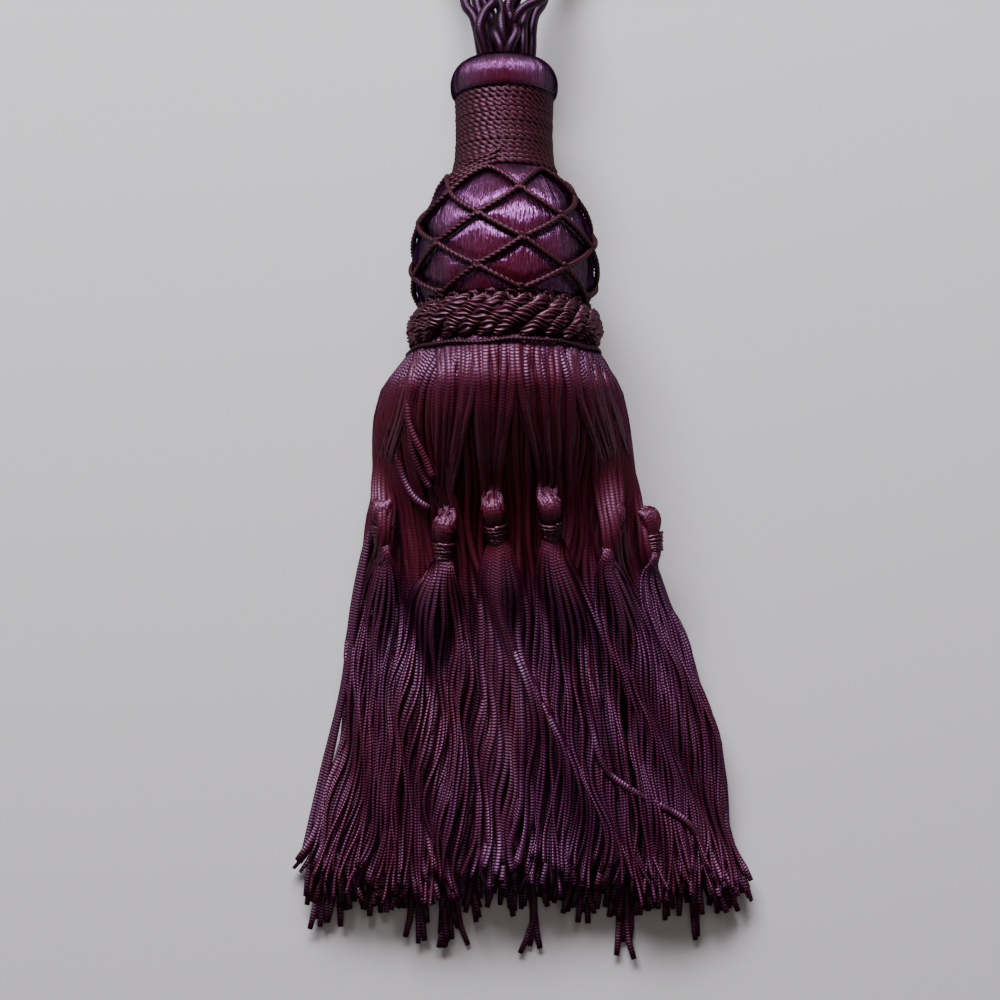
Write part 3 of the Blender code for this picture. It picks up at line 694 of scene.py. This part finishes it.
# ----------------------------------------------------------------- The collar
# A ring of leaning rolls, each laid of six fine cords round a core, sewn over
# the knot where the skirt is tied on. Each roll dives under the next one at
# both ends. Plain cord leans the other way behind them.
COLLAR_GROUPS, ROLL_CORDS, BACK_CORDS = 27, 6, 50
COLLAR_HALF_HEIGHT, COLLAR_FLARE, COLLAR_LEAN = 0.0058, 0.0012, 2.4
ROLL_RADIUS, ROLL_LAY, BACK_LAY, BACK_SUNK = 0.0020, 0.0098, 0.0064, 0.0016
LOOP_TURN, LOOP_RISE = 0.062, 0.0011
collar_cord = twisted_cord.copy()
collar_cord.name = "collar cord"
finish(collar_cord, Roughness=0.44, Specular_Tint=(0.60, 0.32, 0.45), IOR=2.0)
collar_radii = np.linalg.norm(from_axis(own_points("collar"))[1], axis=1)
collar_radius = float(collar_radii.min() + collar_radii.max()) / 2
rolls, collar = Hank(40), Hank(12)
group_step = 2 * math.pi / COLLAR_GROUPS
share = np.linspace(-1.0, 1.0, 44)
for group in range(COLLAR_GROUPS):
    # No roll is quite like the next: each leans, stands out and swells a little differently.
    lean = COLLAR_LEAN * (1 + 0.16 * math.sin(group * 7.7))
    astray = 0.10 * math.sin(group * 4.1) + 0.05 * np.sin(share * 4 + group)
    turn = group_step * (group + lean / 2 * share + astray)
    height = COLLAR_HALF_HEIGHT * share * 0.90 + 0.0003 * math.sin(group * 2.9)
    bulge = 0.0002 - 0.0022 * np.abs(share) ** 2.6 + 0.0003 * math.sin(group * 5.3)
    line = on_head(turn, collar_radius - COLLAR_FLARE * share + bulge, height)
    thick = ROLL_RADIUS + 0.0002 * math.sin(group * 5.9) - 0.0007 * np.abs(share) ** 3
    lumps = 0.10 * np.sin(share * 8 + group * 2.2) + 0.05 * np.sin(share * 17 + group * 4.4)
    lay_twisted(
        rolls, line, line - on_head(turn, 0.0, height), thick * (1 + lumps), grooves=0.46,
        lay=ROLL_LAY + 0.0016 * math.sin(group * 3.7), plies=ROLL_CORDS, wide=1.12,
        turned=group * 1.7 + 0.32 * np.sin(share * 11 + group),
        tone=0.7 + 0.3 * math.sin(group * 3.3), start=0.003 * group,
    )
share = np.linspace(-1.0, 1.0, 20)
# Their low tone of 0.1 is painted shade: the cords behind the rolls are coloured dark for the rolls'
# shadow.
for cord in range(BACK_CORDS):
    turn = 2 * math.pi * cord / BACK_CORDS - group_step * share
    height = COLLAR_HALF_HEIGHT * share
    line = on_head(turn, collar_radius - BACK_SUNK - 0.0010 * np.abs(share) ** 3, height)
    outward = line - on_head(turn, 0.0, height)
    lay_twisted(collar, line, outward, CORD_RADIUS * 1.6, lay=BACK_LAY, tone=0.1)
# Small loops of cord stand over the rolls' upper ends.
around = np.linspace(-0.3, math.pi + 0.3, 18)
for group in range(COLLAR_GROUPS):
    middle = group_step * (group + 0.35) + 0.02 * math.sin(group * 2.3)
    height = COLLAR_HALF_HEIGHT - 0.0002 + (LOOP_RISE + 0.0003 * math.sin(group * 1.7)) * np.sin(around)
    radius = collar_radius - COLLAR_FLARE - 0.0012 + 0.0003 * np.sin(around)
    line = on_head(middle - LOOP_TURN * np.cos(around), radius, height)
    lay_twisted(collar, line, line - on_head(middle, 0.0, height), CORD_RADIUS * 1.15)
rolls_piece = rolls.piece("collar_rolls", collar_cord, "twisted_cord")
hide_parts("collar")
collar_piece = collar.piece("collar_cords", twisted_cord, "twisted_cord")
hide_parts("collar")

# -------------------------------------------------------------- The edge cord
# One thin twisted cord, sewn all the way round under the collar to finish its
# lower edge.
EDGE_RINGS, EDGE_TWISTS, EDGE_SUNK, EDGE_DROP = 420, 50, 0.0006, 0.0003
edge_heights, edge_outward = from_axis(own_points("edge_cord"))
edge_height, edge_radius = float(edge_heights.mean()), float(np.linalg.norm(edge_outward, axis=1).mean())
turn = np.linspace(0.0, 2 * np.pi, EDGE_RINGS, endpoint=False)
height = edge_height + 0.0003 * np.sin(turn * 5) + 0.0002 * np.sin(turn * 11 + 1)
line = on_head(turn, edge_radius - EDGE_SUNK + 0.0002 * np.sin(turn * 7), height - EDGE_DROP)
edge = Hank(12)
# Its tone of 0 is painted shade: the cord is coloured darkest for the collar's shadow over it.
edge.lay(
    line, line - on_head(turn, 0.0, height), CORD_RADIUS * 0.9, plies=3, grooves=0.36,
    twist=-EDGE_TWISTS * turn, tone=0.0, close=True,
)
edge_piece = edge.piece("edge_twist", twisted_cord, "twisted_cord")
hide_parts("edge_cord")

# ------------------------------------------------------------------ The skirt
# Some hundreds of chainette yarns, each a narrow knitted tube of rayon, tied
# round the seat under the collar and cut off at their lower ends. They lie in
# layers and run together into uneven locks.
rng = np.random.default_rng(7)
YARN_RADIUS, YARN_SECTION = 0.00054, {"wide": 1.8, "square": 0.45}
SKIRT_TOP, CUT_END = 0.0452, -0.1125
FOOT_MIDDLE, FOOT_HALF, UNDER_FOOT_HALF = 0.0063, 0.0655, 0.065
FAR, ACROSS_LIMIT = 0.2, 0.99
SMALL_TASSELS = 6
yarn_material = make_ribbed(
    "chainette yarn", roughness=0.46, tint=(0.46, 0.315, 0.51), ior=1.92, shade=1.6,
    pitch=0.00092, slant=0.68, wander=0.25, depth=0.00020,
    furrow_shade=(0.046, 0.0010, 0.010), crest=(0.056, 0.002, 0.006), other_crest=(0.040, 0.003, 0.028),
    patchy=True,
)
skirt_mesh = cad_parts["skirt"].data
skirt_tree = BVHTree.FromPolygons(
    [vert.co for vert in skirt_mesh.vertices], [tuple(face.vertices) for face in skirt_mesh.polygons]
)
# The section of the skirt, read off the frame on a grid: stations from the tied top to the cut end.
STATION_STEP = 0.0015
STATIONS = np.arange(0.0462, CUT_END, -STATION_STEP)
ACROSS = np.linspace(-0.985, 0.985, 61)


def cast(start, way):
    """Where a ray meets the frame's skirt, or None."""
    return skirt_tree.ray_cast(Vector(start), Vector(way))[0]


edges = []
for y in STATIONS:
    heights = np.arange(0.0015, 0.056, 0.0025)
    hits = [(cast((-FAR, y, z), (1, 0, 0)), cast((FAR, y, z), (-1, 0, 0))) for z in heights]
    hits = [(left.x, right.x) for left, right in hits if left is not None and right is not None]
    edges.append((min(left for left, _ in hits), max(right for _, right in hits)))
edges = np.array(edges)
middles, halves = edges.mean(axis=1), np.ptp(edges, axis=1) / 2
uppers, unders = np.zeros((len(STATIONS), len(ACROSS))), np.zeros((len(STATIONS), len(ACROSS)))
for row, y in enumerate(STATIONS):
    for column, across in enumerate(ACROSS):
        x = middles[row] + halves[row] * across
        upper, under = cast((x, y, FAR), (0, 0, -1)), cast((x, y, -FAR), (0, 0, 1))
        uppers[row, column] = upper.z if upper else np.nan
        unders[row, column] = under.z if under else np.nan
for grid in (uppers, unders):
    for row in grid:
        bad = np.isnan(row)
        row[bad] = np.interp(ACROSS[bad], ACROSS[~bad], row[~bad])


def skirt_point(y, across, depth):
    """A point inside the skirt: across from -1 to 1, depth from 0 at its upper side to 1 below."""
    y, across, depth = together(y, np.clip(across, -ACROSS_LIMIT, ACROSS_LIMIT), depth)
    row = np.clip((STATIONS[0] - y) / STATION_STEP, 0, len(STATIONS) - 1.001)
    column = np.clip((across - ACROSS[0]) / (ACROSS[1] - ACROSS[0]), 0, len(ACROSS) - 1.001)
    at_row, at_column = row.astype(int), column.astype(int)
    part_row, part_column = row - at_row, column - at_column

    def between(one, two, part):
        return one * (1 - part) + two * part

    def read(grid):
        one = between(grid[at_row, at_column], grid[at_row, at_column + 1], part_column)
        two = between(grid[at_row + 1, at_column], grid[at_row + 1, at_column + 1], part_column)
        return between(one, two, part_row)

    middle, half = (between(one[at_row], one[at_row + 1], part_row) for one in (middles, halves))
    upper, under = read(uppers), read(unders)
    return np.stack([middle + half * across, y, upper + (under - upper) * depth], axis=-1)


def across_of(point):
    """How far across the skirt a point lies, from -1 to 1."""
    row = int(np.clip((STATIONS[0] - point[1]) / STATION_STEP, 0, len(STATIONS) - 1))
    return (point[0] - middles[row]) / halves[row]


def ease(value):
    """A share from 0 to 1 with a soft start and end."""
    value = np.clip(value, 0.0, 1.0)
    return value * value * (3 - 2 * value)


# The yarns run together into uneven locks: several slow waves across the
# skirt that shift neighbours together, and a few that raise some over others.
SkirtWave = namedtuple("SkirtWave", "size length across start")
SWAYS = [
    SkirtWave(0.0014, 0.090, 6.0, 0.4),
    SkirtWave(0.0011, 0.058, 13.0, 2.1),
    SkirtWave(0.0008, 0.037, 23.0, 4.4),
    SkirtWave(0.0003, 0.024, 37.0, 1.2),
]
RISES = [
    SkirtWave(0.0008, 0.062, 8.0, 0.9),
    SkirtWave(0.0006, 0.041, 19.0, 3.3),
    SkirtWave(0.0004, 0.029, 37.0, 5.0),
]


def field(waves, y, across):
    """The sum of the waves at a place on the skirt."""
    total = 0.0
    for wave in waves:
        phase = 2 * np.pi * y / wave.length + wave.across * across + wave.start
        total = total + wave.size * np.sin(phase)
    return total


def waver(y, size, length):
    """A small uneven waver along one yarn."""
    phases = rng.uniform(0, 2 * np.pi, 3)
    lengths = length * rng.uniform(0.7, 1.6, 3)
    return size * sum(np.sin(2 * np.pi * y / one + phase) for one, phase in zip(lengths, phases)) / 2


def slice_middle(points, top, low, high):
    """The middle of a node's corners between two distances below its top."""
    inside = (points[:, 1] >= top - low) & (points[:, 1] <= top - high)
    return points[inside].mean(axis=0)


# Where the small tassels' beads and ties are, so that the yarns can lie round them.
bead_middles, tie_middles = [], []
for count in range(1, SMALL_TASSELS + 1):
    corners = own_points(f"small_tassel_{count}")
    top = corners[:, 1].max()
    bead_middles.append(slice_middle(corners, top, 0.0075, 0.0))
    tie_middles.append(slice_middle(corners, top, 0.0140, 0.0090))

# Where the upper yarns are cut off, from left to right: across and along.
CUT_LINE = np.array([
    (-620, -1098), (-500, -1145), (-300, -1162), (-100, -1122), (100, -1105), (280, -1125),
    (450, -1168), (600, -1152), (740, -1138),
]) / TENTHS
# The tufts that stick out from under them: where, how far, how wide, how many yarns.
Tuft = namedtuple("Tuft", "x y spread yarns")
TUFTS = [
    Tuft(-0.0520, -0.1310, 0.0034, 8),
    Tuft(-0.0400, -0.1262, 0.0022, 4),
    Tuft(-0.0285, -0.1350, 0.0016, 4),
    Tuft(-0.0176, -0.1362, 0.0026, 10),
    Tuft(-0.0070, -0.1285, 0.0020, 3),
    Tuft(0.0000, -0.1270, 0.0016, 3),
    Tuft(0.0092, -0.1392, 0.0012, 3),
    Tuft(0.0180, -0.1250, 0.0020, 3),
    Tuft(0.0250, -0.1300, 0.0020, 4),
    Tuft(0.0345, -0.1280, 0.0034, 9),
    Tuft(0.0362, -0.1402, 0.0034, 4),
    Tuft(0.0484, -0.1275, 0.0028, 8),
    Tuft(0.0590, -0.1350, 0.0014, 3),
    Tuft(0.0670, -0.1262, 0.0024, 5),
]


def cut_off(across, half=FOOT_HALF):
    """Where a yarn of the upper layers ends, by its place across the skirt's foot."""
    return float(np.interp(FOOT_MIDDLE + half * across, *CUT_LINE.T))


def round_beads(point, depth):
    """Moves a yarn aside and down where a small tassel lies on the skirt."""
    for bead, tie in zip(bead_middles, tie_middles):
        middle = (bead + tie) / 2
        by_side = point[:, 0] - middle[0]
        by_length = point[:, 1] - middle[1] + 0.0026
        near = np.exp(-((by_side / 0.0048) ** 2) - (np.abs(by_length) / 0.0095) ** 4) * (1 - depth)
        point[:, 2] -= 0.0016 * near
        point[:, 0] += 0.0020 * np.tanh(by_side / 0.0008) * near
    return point


def over_beads(point):
    """Lifts a yarn that lies over a small tassel instead."""
    for bead, tie in zip(bead_middles, tie_middles):
        middle = bead * 0.6 + tie * 0.4
        by_side, by_length = point[:, 0] - middle[0], point[:, 1] - middle[1]
        near = np.exp(-((by_side / 0.0046) ** 2) - (by_length / 0.0145) ** 2)
        point[:, 2] += np.maximum(middle[2] + 0.0042 - point[:, 2], 0.0) * near
    return point


# Where along the skirt the yarns settle to their own depth, loosen from each other and drift aside,
# over what lengths, and how much of each cut end rises and bends.
SETTLE_FROM, LOOSE_FROM, SPREAD_OVER = 0.040, 0.034, 0.075
DRIFT_FROM, DRIFT_OVER = 0.010, 0.11
RAISED_END, BENT_END = 0.014, 0.022


def slackness(y):
    """The yarns are pulled taut between the collar's shoulder and the small tassels' ties."""
    return 1 - 0.80 * ease((0.038 - y) / 0.012) * ease((y + 0.032) / 0.014)


def stray(point, y, end, across_end, depth=0.0):
    """Lets the last stretch of a yarn rise from the others and bend to one side."""
    raised = np.clip((end + RAISED_END - y) / RAISED_END, 0.0, 1.0) ** 2
    point[:, 2] += rng.normal(0.0014, 0.0013) * raised * (1 - depth)
    aside = np.clip((end + BENT_END - y) / BENT_END, 0.0, 1.0) ** 2
    point[:, 0] += (rng.normal(0, 0.0021) + 0.0022 * across_end**5) * aside


def skirt_yarn(
    hank, turn, ring, across_end, depth_start, depth_end, end,
    steps=44, drift=0.0, lift=0.0, covering=False, up=UPWARDS,
):
    """One yarn: from under the collar, over the shoulder and down the skirt to its cut end."""
    top = SKIRT_TOP - 0.0030 * (1 - ring)
    y = top + (end - top) * np.linspace(0.0, 1.0, steps)
    across_start = math.sin(turn) * ring
    settle, loosened = ease((SETTLE_FROM - y) / SPREAD_OVER), ease((LOOSE_FROM - y) / SPREAD_OVER)
    across = across_start + (across_end - across_start) * settle
    depth = depth_start + (depth_end - depth_start) * settle
    across = across + drift * ease((DRIFT_FROM - y) / DRIFT_OVER)
    point = skirt_point(y, across, depth)
    side = field(SWAYS, y, across) * (1 - 0.4 * np.abs(across)) * (1 - 0.5 * depth)
    point[:, 0] += side * loosened + waver(y, 0.0005, 0.030) * (0.3 + 0.7 * loosened)
    rise = field(RISES, y, across) * loosened + waver(y, 0.0002, 0.024) * (0.4 + 0.6 * loosened)
    point[:, 2] += (rise + lift * loosened) * (1 - depth) - YARN_RADIUS * (1 - 2 * depth)
    # The taut stretch above the small tassels and the one below their ties lie a little lower.
    dip = 0.0006 * np.exp(-(((y - 0.004) / 0.018) ** 2)) + 0.0016 * ease((-0.022 - y) / 0.02)
    point[:, 2] -= dip * (1 - depth)
    point = over_beads(point) if covering else round_beads(point, depth)
    stray(point, y, end, across_end, depth)
    point[:, 2] = np.maximum(point[:, 2], YARN_RADIUS * 1.05)
    thick = YARN_RADIUS * rng.uniform(0.92, 1.08) * np.ones(steps)
    thick[-1] *= 0.8
    hank.lay(
        point, up, thick, **YARN_SECTION,
        tone=rng.uniform(0, 1), slack=slackness(y), start=rng.uniform(0, 0.001),
    )


def turn_of(count, yarns, first, sweep):
    """The turn of one of a layer's yarns round the head; the layer sweeps on from first, in degrees."""
    return math.radians(first + sweep * (count + 0.5) / yarns)


# The upper side: two even layers, and single yarns that cross over them.
outer = Hank(8)
for count in range(74):
    turn = turn_of(count, 74, -98, 196) + rng.normal(0, 0.008)
    across_end = math.degrees(turn) / 99
    end = cut_off(across_end) + rng.uniform(-0.003, 0.004)
    drift = rng.normal(0, 0.02)
    depth = 0.01 + rng.uniform(0, 0.02)
    skirt_yarn(outer, turn, 1.0, across_end, depth, rng.uniform(0.0, 0.12), end, drift=drift)
for count in range(80):
    turn = turn_of(count, 80, -96, 192) + rng.normal(0, 0.015)
    across_end = math.degrees(turn) / 97 + rng.normal(0, 0.01)
    end = cut_off(across_end) + rng.uniform(-0.005, 0.004)
    drift = rng.normal(0, 0.03)
    skirt_yarn(outer, turn, 0.95, across_end, 0.06, rng.uniform(0.05, 0.25), end, drift=drift)
for count in range(30):
    turn = rng.uniform(-1.5, 1.5)
    across_end = math.degrees(turn) / 99
    end = cut_off(across_end) + rng.uniform(-0.004, 0.006)
    skirt_yarn(outer, turn, 1.0, across_end, 0.0, 0.0, end, drift=rng.uniform(-0.14, 0.14), lift=0.0011)
# At the sides the small tassels are half covered by other yarns.
for bead in (bead_middles[0], bead_middles[4], bead_middles[5]):
    for aside in np.linspace(-0.0034, 0.0030, 6):
        across_end = float(np.clip(across_of((bead[0] + aside, bead[1])), -0.97, 0.97))
        end = cut_off(across_end) + rng.uniform(-0.004, 0.006)
        drift, turn = rng.uniform(-0.05, 0.05), math.asin(across_end)
        skirt_yarn(outer, turn, 1.0, across_end, 0.0, 0.0, end, drift=drift, covering=True)
outer_piece = outer.piece("skirt_yarns_upper", yarn_material, "skirt_yarn")
# Beneath them: two looser layers, the tufts, the underside and the two sides.
inner = Hank(6)
for count in range(80):
    turn = turn_of(count, 80, -94, 188)
    across_end = math.degrees(turn) / 95 + rng.normal(0, 0.02)
    end = cut_off(across_end, UNDER_FOOT_HALF) + rng.uniform(-0.009, 0.002)
    skirt_yarn(inner, turn, 0.86, across_end, 0.14, rng.uniform(0.25, 0.6), end, steps=34)
for count in range(72):
    turn = turn_of(count, 72, -90, 180)
    across_end = math.degrees(turn) / 92 + rng.normal(0, 0.02)
    end = -0.1195 + rng.uniform(-0.006, 0.004)
    skirt_yarn(inner, turn, 0.70, across_end, 0.3, rng.uniform(0.6, 0.97), end, steps=34)
for tuft in TUFTS:
    for count in range(tuft.yarns):
        across_end = (tuft.x + rng.normal(0, tuft.spread * 0.7) - FOOT_MIDDLE) / FOOT_HALF
        end = tuft.y + abs(rng.normal(0, 0.0035))
        skirt_yarn(inner, across_end * 1.4, 0.6, across_end, 0.4, rng.uniform(0.80, 1.0), end, steps=34)
for count in range(84):
    turn = turn_of(count, 84, 99, 162)
    across_end = (1 - 2 * (count + 0.5) / 84) * 0.98
    end = -0.1185 + rng.uniform(-0.006, 0.004)
    skirt_yarn(inner, turn, 1.0, across_end, 1.0, rng.uniform(0.92, 1.0), end, steps=34)
for side in (-1, 1):
    for depth in np.linspace(0.04, 0.96, 20):
        end = cut_off(side) + rng.uniform(-0.008, 0.004)
        across_end = side * rng.uniform(0.95, 0.985)
        outward = (side, 0.0, 0.35 - 0.7 * depth)
        skirt_yarn(inner, side * 1.43, 1.0, across_end, depth, depth, end, steps=34, up=outward)
inner_piece = inner.piece("skirt_yarns_lower", yarn_material, "skirt_yarn")
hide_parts("skirt")
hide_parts("skirt")

# ---------------------------------------------------------- The small tassels
# Every so often round the skirt the outermost yarns are drawn together over a
# small wooden bead, tied under it with a few turns of yarn, and let go again
# to fan out over the lower skirt.
TASSEL_YARNS, BEAD_RADIUS, BEAD_LENGTH = 23, 0.0031, 0.0078
TIE_RADIUS, TIE_LENGTH, TIE_TURNS, TIE_RINGS, TIED_RADIUS = 0.00050, 0.0055, 6, 220, 0.0019
HEAD_FOOT_RADIUS = 0.029
# How far across the skirt each one's yarns fan out, from low to high.
FanTarget = namedtuple("FanTarget", "low high")
FANS = [
    FanTarget(-0.97, -0.66),
    FanTarget(-0.74, -0.27),
    FanTarget(-0.29, 0.14),
    FanTarget(0.10, 0.50),
    FanTarget(0.46, 0.78),
    FanTarget(0.72, 0.98),
]
ties = Hank(12)


def fan_place(turn):
    """How far to the side a yarn of the upper half comes out of the tie, from -1 to 1."""
    return max(-1.0, min(1.0, math.remainder(turn, 2 * math.pi) / 1.78))


for count, (fan, bead_middle, tie_middle) in enumerate(zip(FANS, bead_middles, tie_middles), start=1):
    axis = bead_middle - tie_middle
    axis /= np.linalg.norm(axis)
    heart = np.array((0.0, bead_middle[1], 0.012))
    normal = bead_middle - heart
    normal -= axis * (normal @ axis)
    normal /= np.linalg.norm(normal)
    side = np.cross(axis, normal)
    bead_heart = bead_middle - axis * 0.0005
    bead_top = bead_heart + axis * BEAD_LENGTH / 2
    tie_top = bead_heart - axis * BEAD_LENGTH / 2
    tie_end = tie_top - axis * TIE_LENGTH
    tie_across = across_of(tie_end)
    start_turn = math.asin(max(-0.985, min(0.985, across_of(bead_middle))))
    yarns = Hank(8)
    for yarn in range(TASSEL_YARNS):
        turn = 2 * math.pi * (yarn + 0.5) / TASSEL_YARNS
        spread, facing = math.sin(turn), math.cos(turn)
        circle = side * spread + normal * facing
        # From the collar down the skirt, gathered together, and up behind the top of the bead.
        share = np.linspace(0.0, 1.0, 22)[:-1]
        y = SKIRT_TOP + (bead_top[1] + 0.0012 - SKIRT_TOP) * share
        x = HEAD_FOOT_RADIUS * math.sin(start_turn + spread * 0.20 + rng.normal(0, 0.03))
        x = x + (bead_top[0] + spread * 0.0026 - x) * ease(share) ** 1.4
        across = (x - np.interp(-y, -STATIONS, middles)) / np.interp(-y, -STATIONS, halves)
        over = skirt_point(y, across, 0.0)
        over[:, 0] += waver(y, 0.0004, 0.02) * (1 - share)
        over[:, 2] += rng.uniform(-0.0024, 0.0002) * ease(share * 4) - 0.0012 * ease(share * 3 - 2)
        # Over the bead and under the tie.
        behind = math.radians(18 + 40 * abs(spread)) if facing > 0 else math.radians(60)
        arc = np.linspace(behind, math.radians(142), 11)
        rise = bead_heart + axis * (BEAD_LENGTH / 2 * math.cos(behind) + 0.0005)
        rise = rise + side * spread * BEAD_RADIUS * math.sin(behind) - normal * 0.0018
        length, swell = BEAD_LENGTH / 2 * np.cos(arc)[:, None], BEAD_RADIUS * np.sin(arc)[:, None]
        bead = bead_heart + axis * length + circle * swell * rng.uniform(0.98, 1.03)
        tie = tie_top - axis * (np.linspace(0.15, 0.9, 4) * TIE_LENGTH)[:, None] + circle * TIED_RADIUS
        # The fan over the lower skirt: the outer yarns spread at once, the inner ones lie under them.
        end = cut_off((fan.low + fan.high) / 2) + rng.uniform(-0.004, 0.006)
        share = np.linspace(0.0, 1.0, 44)[1:]
        y = tie_end[1] + (end - tie_end[1]) * share
        upper = facing > -0.2
        place = 0.5 + 0.5 * (fan_place(turn) if upper else rng.uniform(-1, 1))
        across_end = fan.low + (fan.high - fan.low) * place + rng.normal(0, 0.012)
        across = tie_across + (across_end - tie_across) * (1 - np.exp(-(tie_end[1] - y) / 0.0085))
        fanned = skirt_point(y, across, 0.0)
        loosened = ease(share * 2.5)
        fanned[:, 0] += field(SWAYS, y, across) * (1 - 0.4 * np.abs(across)) * loosened
        fanned[:, 0] += waver(y, 0.0005, 0.030) * loosened
        rises = field(RISES, y, across) + waver(y, 0.0002, 0.024)
        fanned[:, 2] += rises * loosened + (0.0004 if upper else -0.0005)
        # They come down from the tie little by little, those in the middle last.
        held_over = 0.0400 * (1 - 0.6 * spread**2) if upper else 0.0160
        above = np.maximum(tie_end[2] + circle[2] * TIED_RADIUS - fanned[:, 2], 0.0)
        fanned[:, 2] += above * (1 - ease((tie_end[1] - y) / held_over))
        stray(fanned, y, end, across_end)
        below = (tie_end[1] - y)[:, None]
        leave = np.exp(-((below / 0.0028) ** 1.5))
        out_of_tie = tie_end + circle * TIED_RADIUS + (side * spread * 1.2 + normal * 0.3 - axis) * below
        fanned = fanned * (1 - leave) + out_of_tie * leave
        line = smooth_line(np.vstack([over, rise[None, :], bead, tie, fanned]), 0.0022)
        line[:, 2] = np.maximum(line[:, 2], YARN_RADIUS)
        # The tie squeezes the yarn, and its flat side faces outwards round bead and tie.
        from_tie = np.linalg.norm(line - (tie_top + tie_end) / 2, axis=1)
        thick = YARN_RADIUS * (1 - 0.30 * np.exp(-((from_tie / 0.0040) ** 2)))
        ups = line - heart
        ups[:, 1] = 0.0
        near = ease((0.0088 - np.abs((line - (bead_top + tie_end) / 2) @ axis)) / 0.0035)[:, None]
        ups = unit(ups) * (1 - near) + circle * near
        slack = np.maximum(slackness(line[:, 1] - 0.008), 0.3)
        yarns.lay(line, ups, thick, **YARN_SECTION, tone=rng.uniform(0, 1), slack=slack)
    turns = np.linspace(0.0, 2 * np.pi * TIE_TURNS, TIE_RINGS)
    run = np.linspace(0.02, 0.94, TIE_RINGS) * TIE_LENGTH
    round_tie = np.cos(turns)[:, None] * normal + np.sin(turns)[:, None] * side
    snug = 0.0013 - 0.0009 * (run / TIE_LENGTH) + 0.0001 * np.sin(turns * 0.7)
    wrap = tie_top - axis * (run + 0.00025 * np.sin(turns * 0.83))[:, None]
    wrap = wrap + round_tie * (TIED_RADIUS + snug)[:, None]
    lay_twisted(ties, wrap, round_tie, TIE_RADIUS, grooves=0.2, tone=0.9)
    tassel_piece = yarns.piece(f"small_tassel_yarns_{count}", yarn_material, "skirt_yarn")
    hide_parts(f"small_tassel_{count}")
ties.piece("small_tassel_ties", collar_cord, "twisted_cord")

# ------------------------------------------------------------ The loose yarns
# A few of the skirt's yarns have come loose: they hang apart from its sides,
# or lie across it with their ends lifted.
LooseYarn = namedtuple("LooseYarn", "lying slack route")
LOOSE_YARNS = [
    LooseYarn(False, 1.0, [
        (-345, 80, 270), (-386, -80, 240), (-428, -290, 190), (-468, -520, 120), (-520, -760, 60),
        (-572, -990, 30),
    ]),
    LooseYarn(False, 1.0, [
        (-350, 30, 200), (-408, -140, 170), (-448, -320, 130), (-482, -560, 80), (-548, -820, 30),
        (-604, -1060, 15),
    ]),
    LooseYarn(False, 1.0, [
        (360, 80, 215), (402, -60, 205), (446, -210, 170), (500, -350, 120), (556, -500, 70),
        (590, -660, 45), (612, -830, 35),
    ]),
    # Of the lying ones, the last number of a place is its height above the skirt.
    LooseYarn(True, 0.6, [
        (-262, 310, -8), (-268, 236, 6), (-255, 185, 10), (-222, 118, 16), (-200, 60, 26),
    ]),
    LooseYarn(True, 0.6, [
        (-262, 200, -8), (-258, 140, 6), (-232, 75, 10), (-205, 30, 18),
    ]),
    LooseYarn(True, 0.6, [
        (-300, 130, -8), (-290, 72, 6), (-258, 10, 14), (-214, -22, 26),
    ]),
    LooseYarn(True, 1.0, [
        (236, -560, -6), (284, -765, 8), (374, -850, 12), (540, -950, 12), (600, -1060, 0),
    ]),
]
loose = Hank(8)
for yarn in LOOSE_YARNS:
    line = smooth_line(np.array(yarn.route) / TENTHS, 0.0018)
    if yarn.lying:
        line[:, 2] += [skirt_point(point[1], across_of(point), 0.0)[2] for point in line]
    loose.lay(line, UPWARDS, YARN_RADIUS, **YARN_SECTION, tone=rng.uniform(0, 1), slack=yarn.slack)
loose.piece("loose_yarns", yarn_material, "skirt_yarn")

# -------------------------------------------------------- The floor and lights
# A plain pale floor, with one large soft lamp beyond the head, low and a
# little to the left, and a weak one over the tassel for the shadows.
bpy.ops.mesh.primitive_plane_add(size=4.0, location=(0.0, 0.0, 0.0))
floor = bpy.context.object
floor.name = "floor"
floor_material = bpy.data.materials.new("pale floor")
floor_material.use_nodes = True
finish(floor_material, Base_Color=(0.53, 0.52, 0.50), Roughness=0.9)
floor.data.materials.append(floor_material)


def add_lamp(name, place, width, height, power, colour):
    """A soft lamp that faces the tassel."""
    turned = (Vector(place) * -1).to_track_quat("-Z", "Y").to_euler()
    bpy.ops.object.light_add(type="AREA", location=place, rotation=turned)
    lamp = bpy.context.object
    lamp.name = name
    lamp.data.shape = "RECTANGLE"
    lamp.data.size = width
    lamp.data.size_y = height
    lamp.data.energy = power
    lamp.data.color = colour


WINDOW_LIGHT, ROOM_LIGHT, WALL_LIGHT = (0.91, 0.90, 1.0), (1.0, 0.86, 0.90), (1.0, 0.86, 0.82)
add_lamp("window lamp", (-0.20, 1.06, 0.76), width=0.9, height=0.39, power=50.0, colour=WINDOW_LIGHT)
add_lamp("room lamp", (0.05, 0.25, 1.36), width=0.9, height=0.9, power=2.8, colour=ROOM_LIGHT)
world = bpy.data.worlds.new("studio")
bpy.context.scene.world = world
world.use_nodes = True
background = world.node_tree.nodes["Background"]
background.inputs["Color"].default_value = (*WALL_LIGHT, 1.0)
background.inputs["Strength"].default_value = 0.05
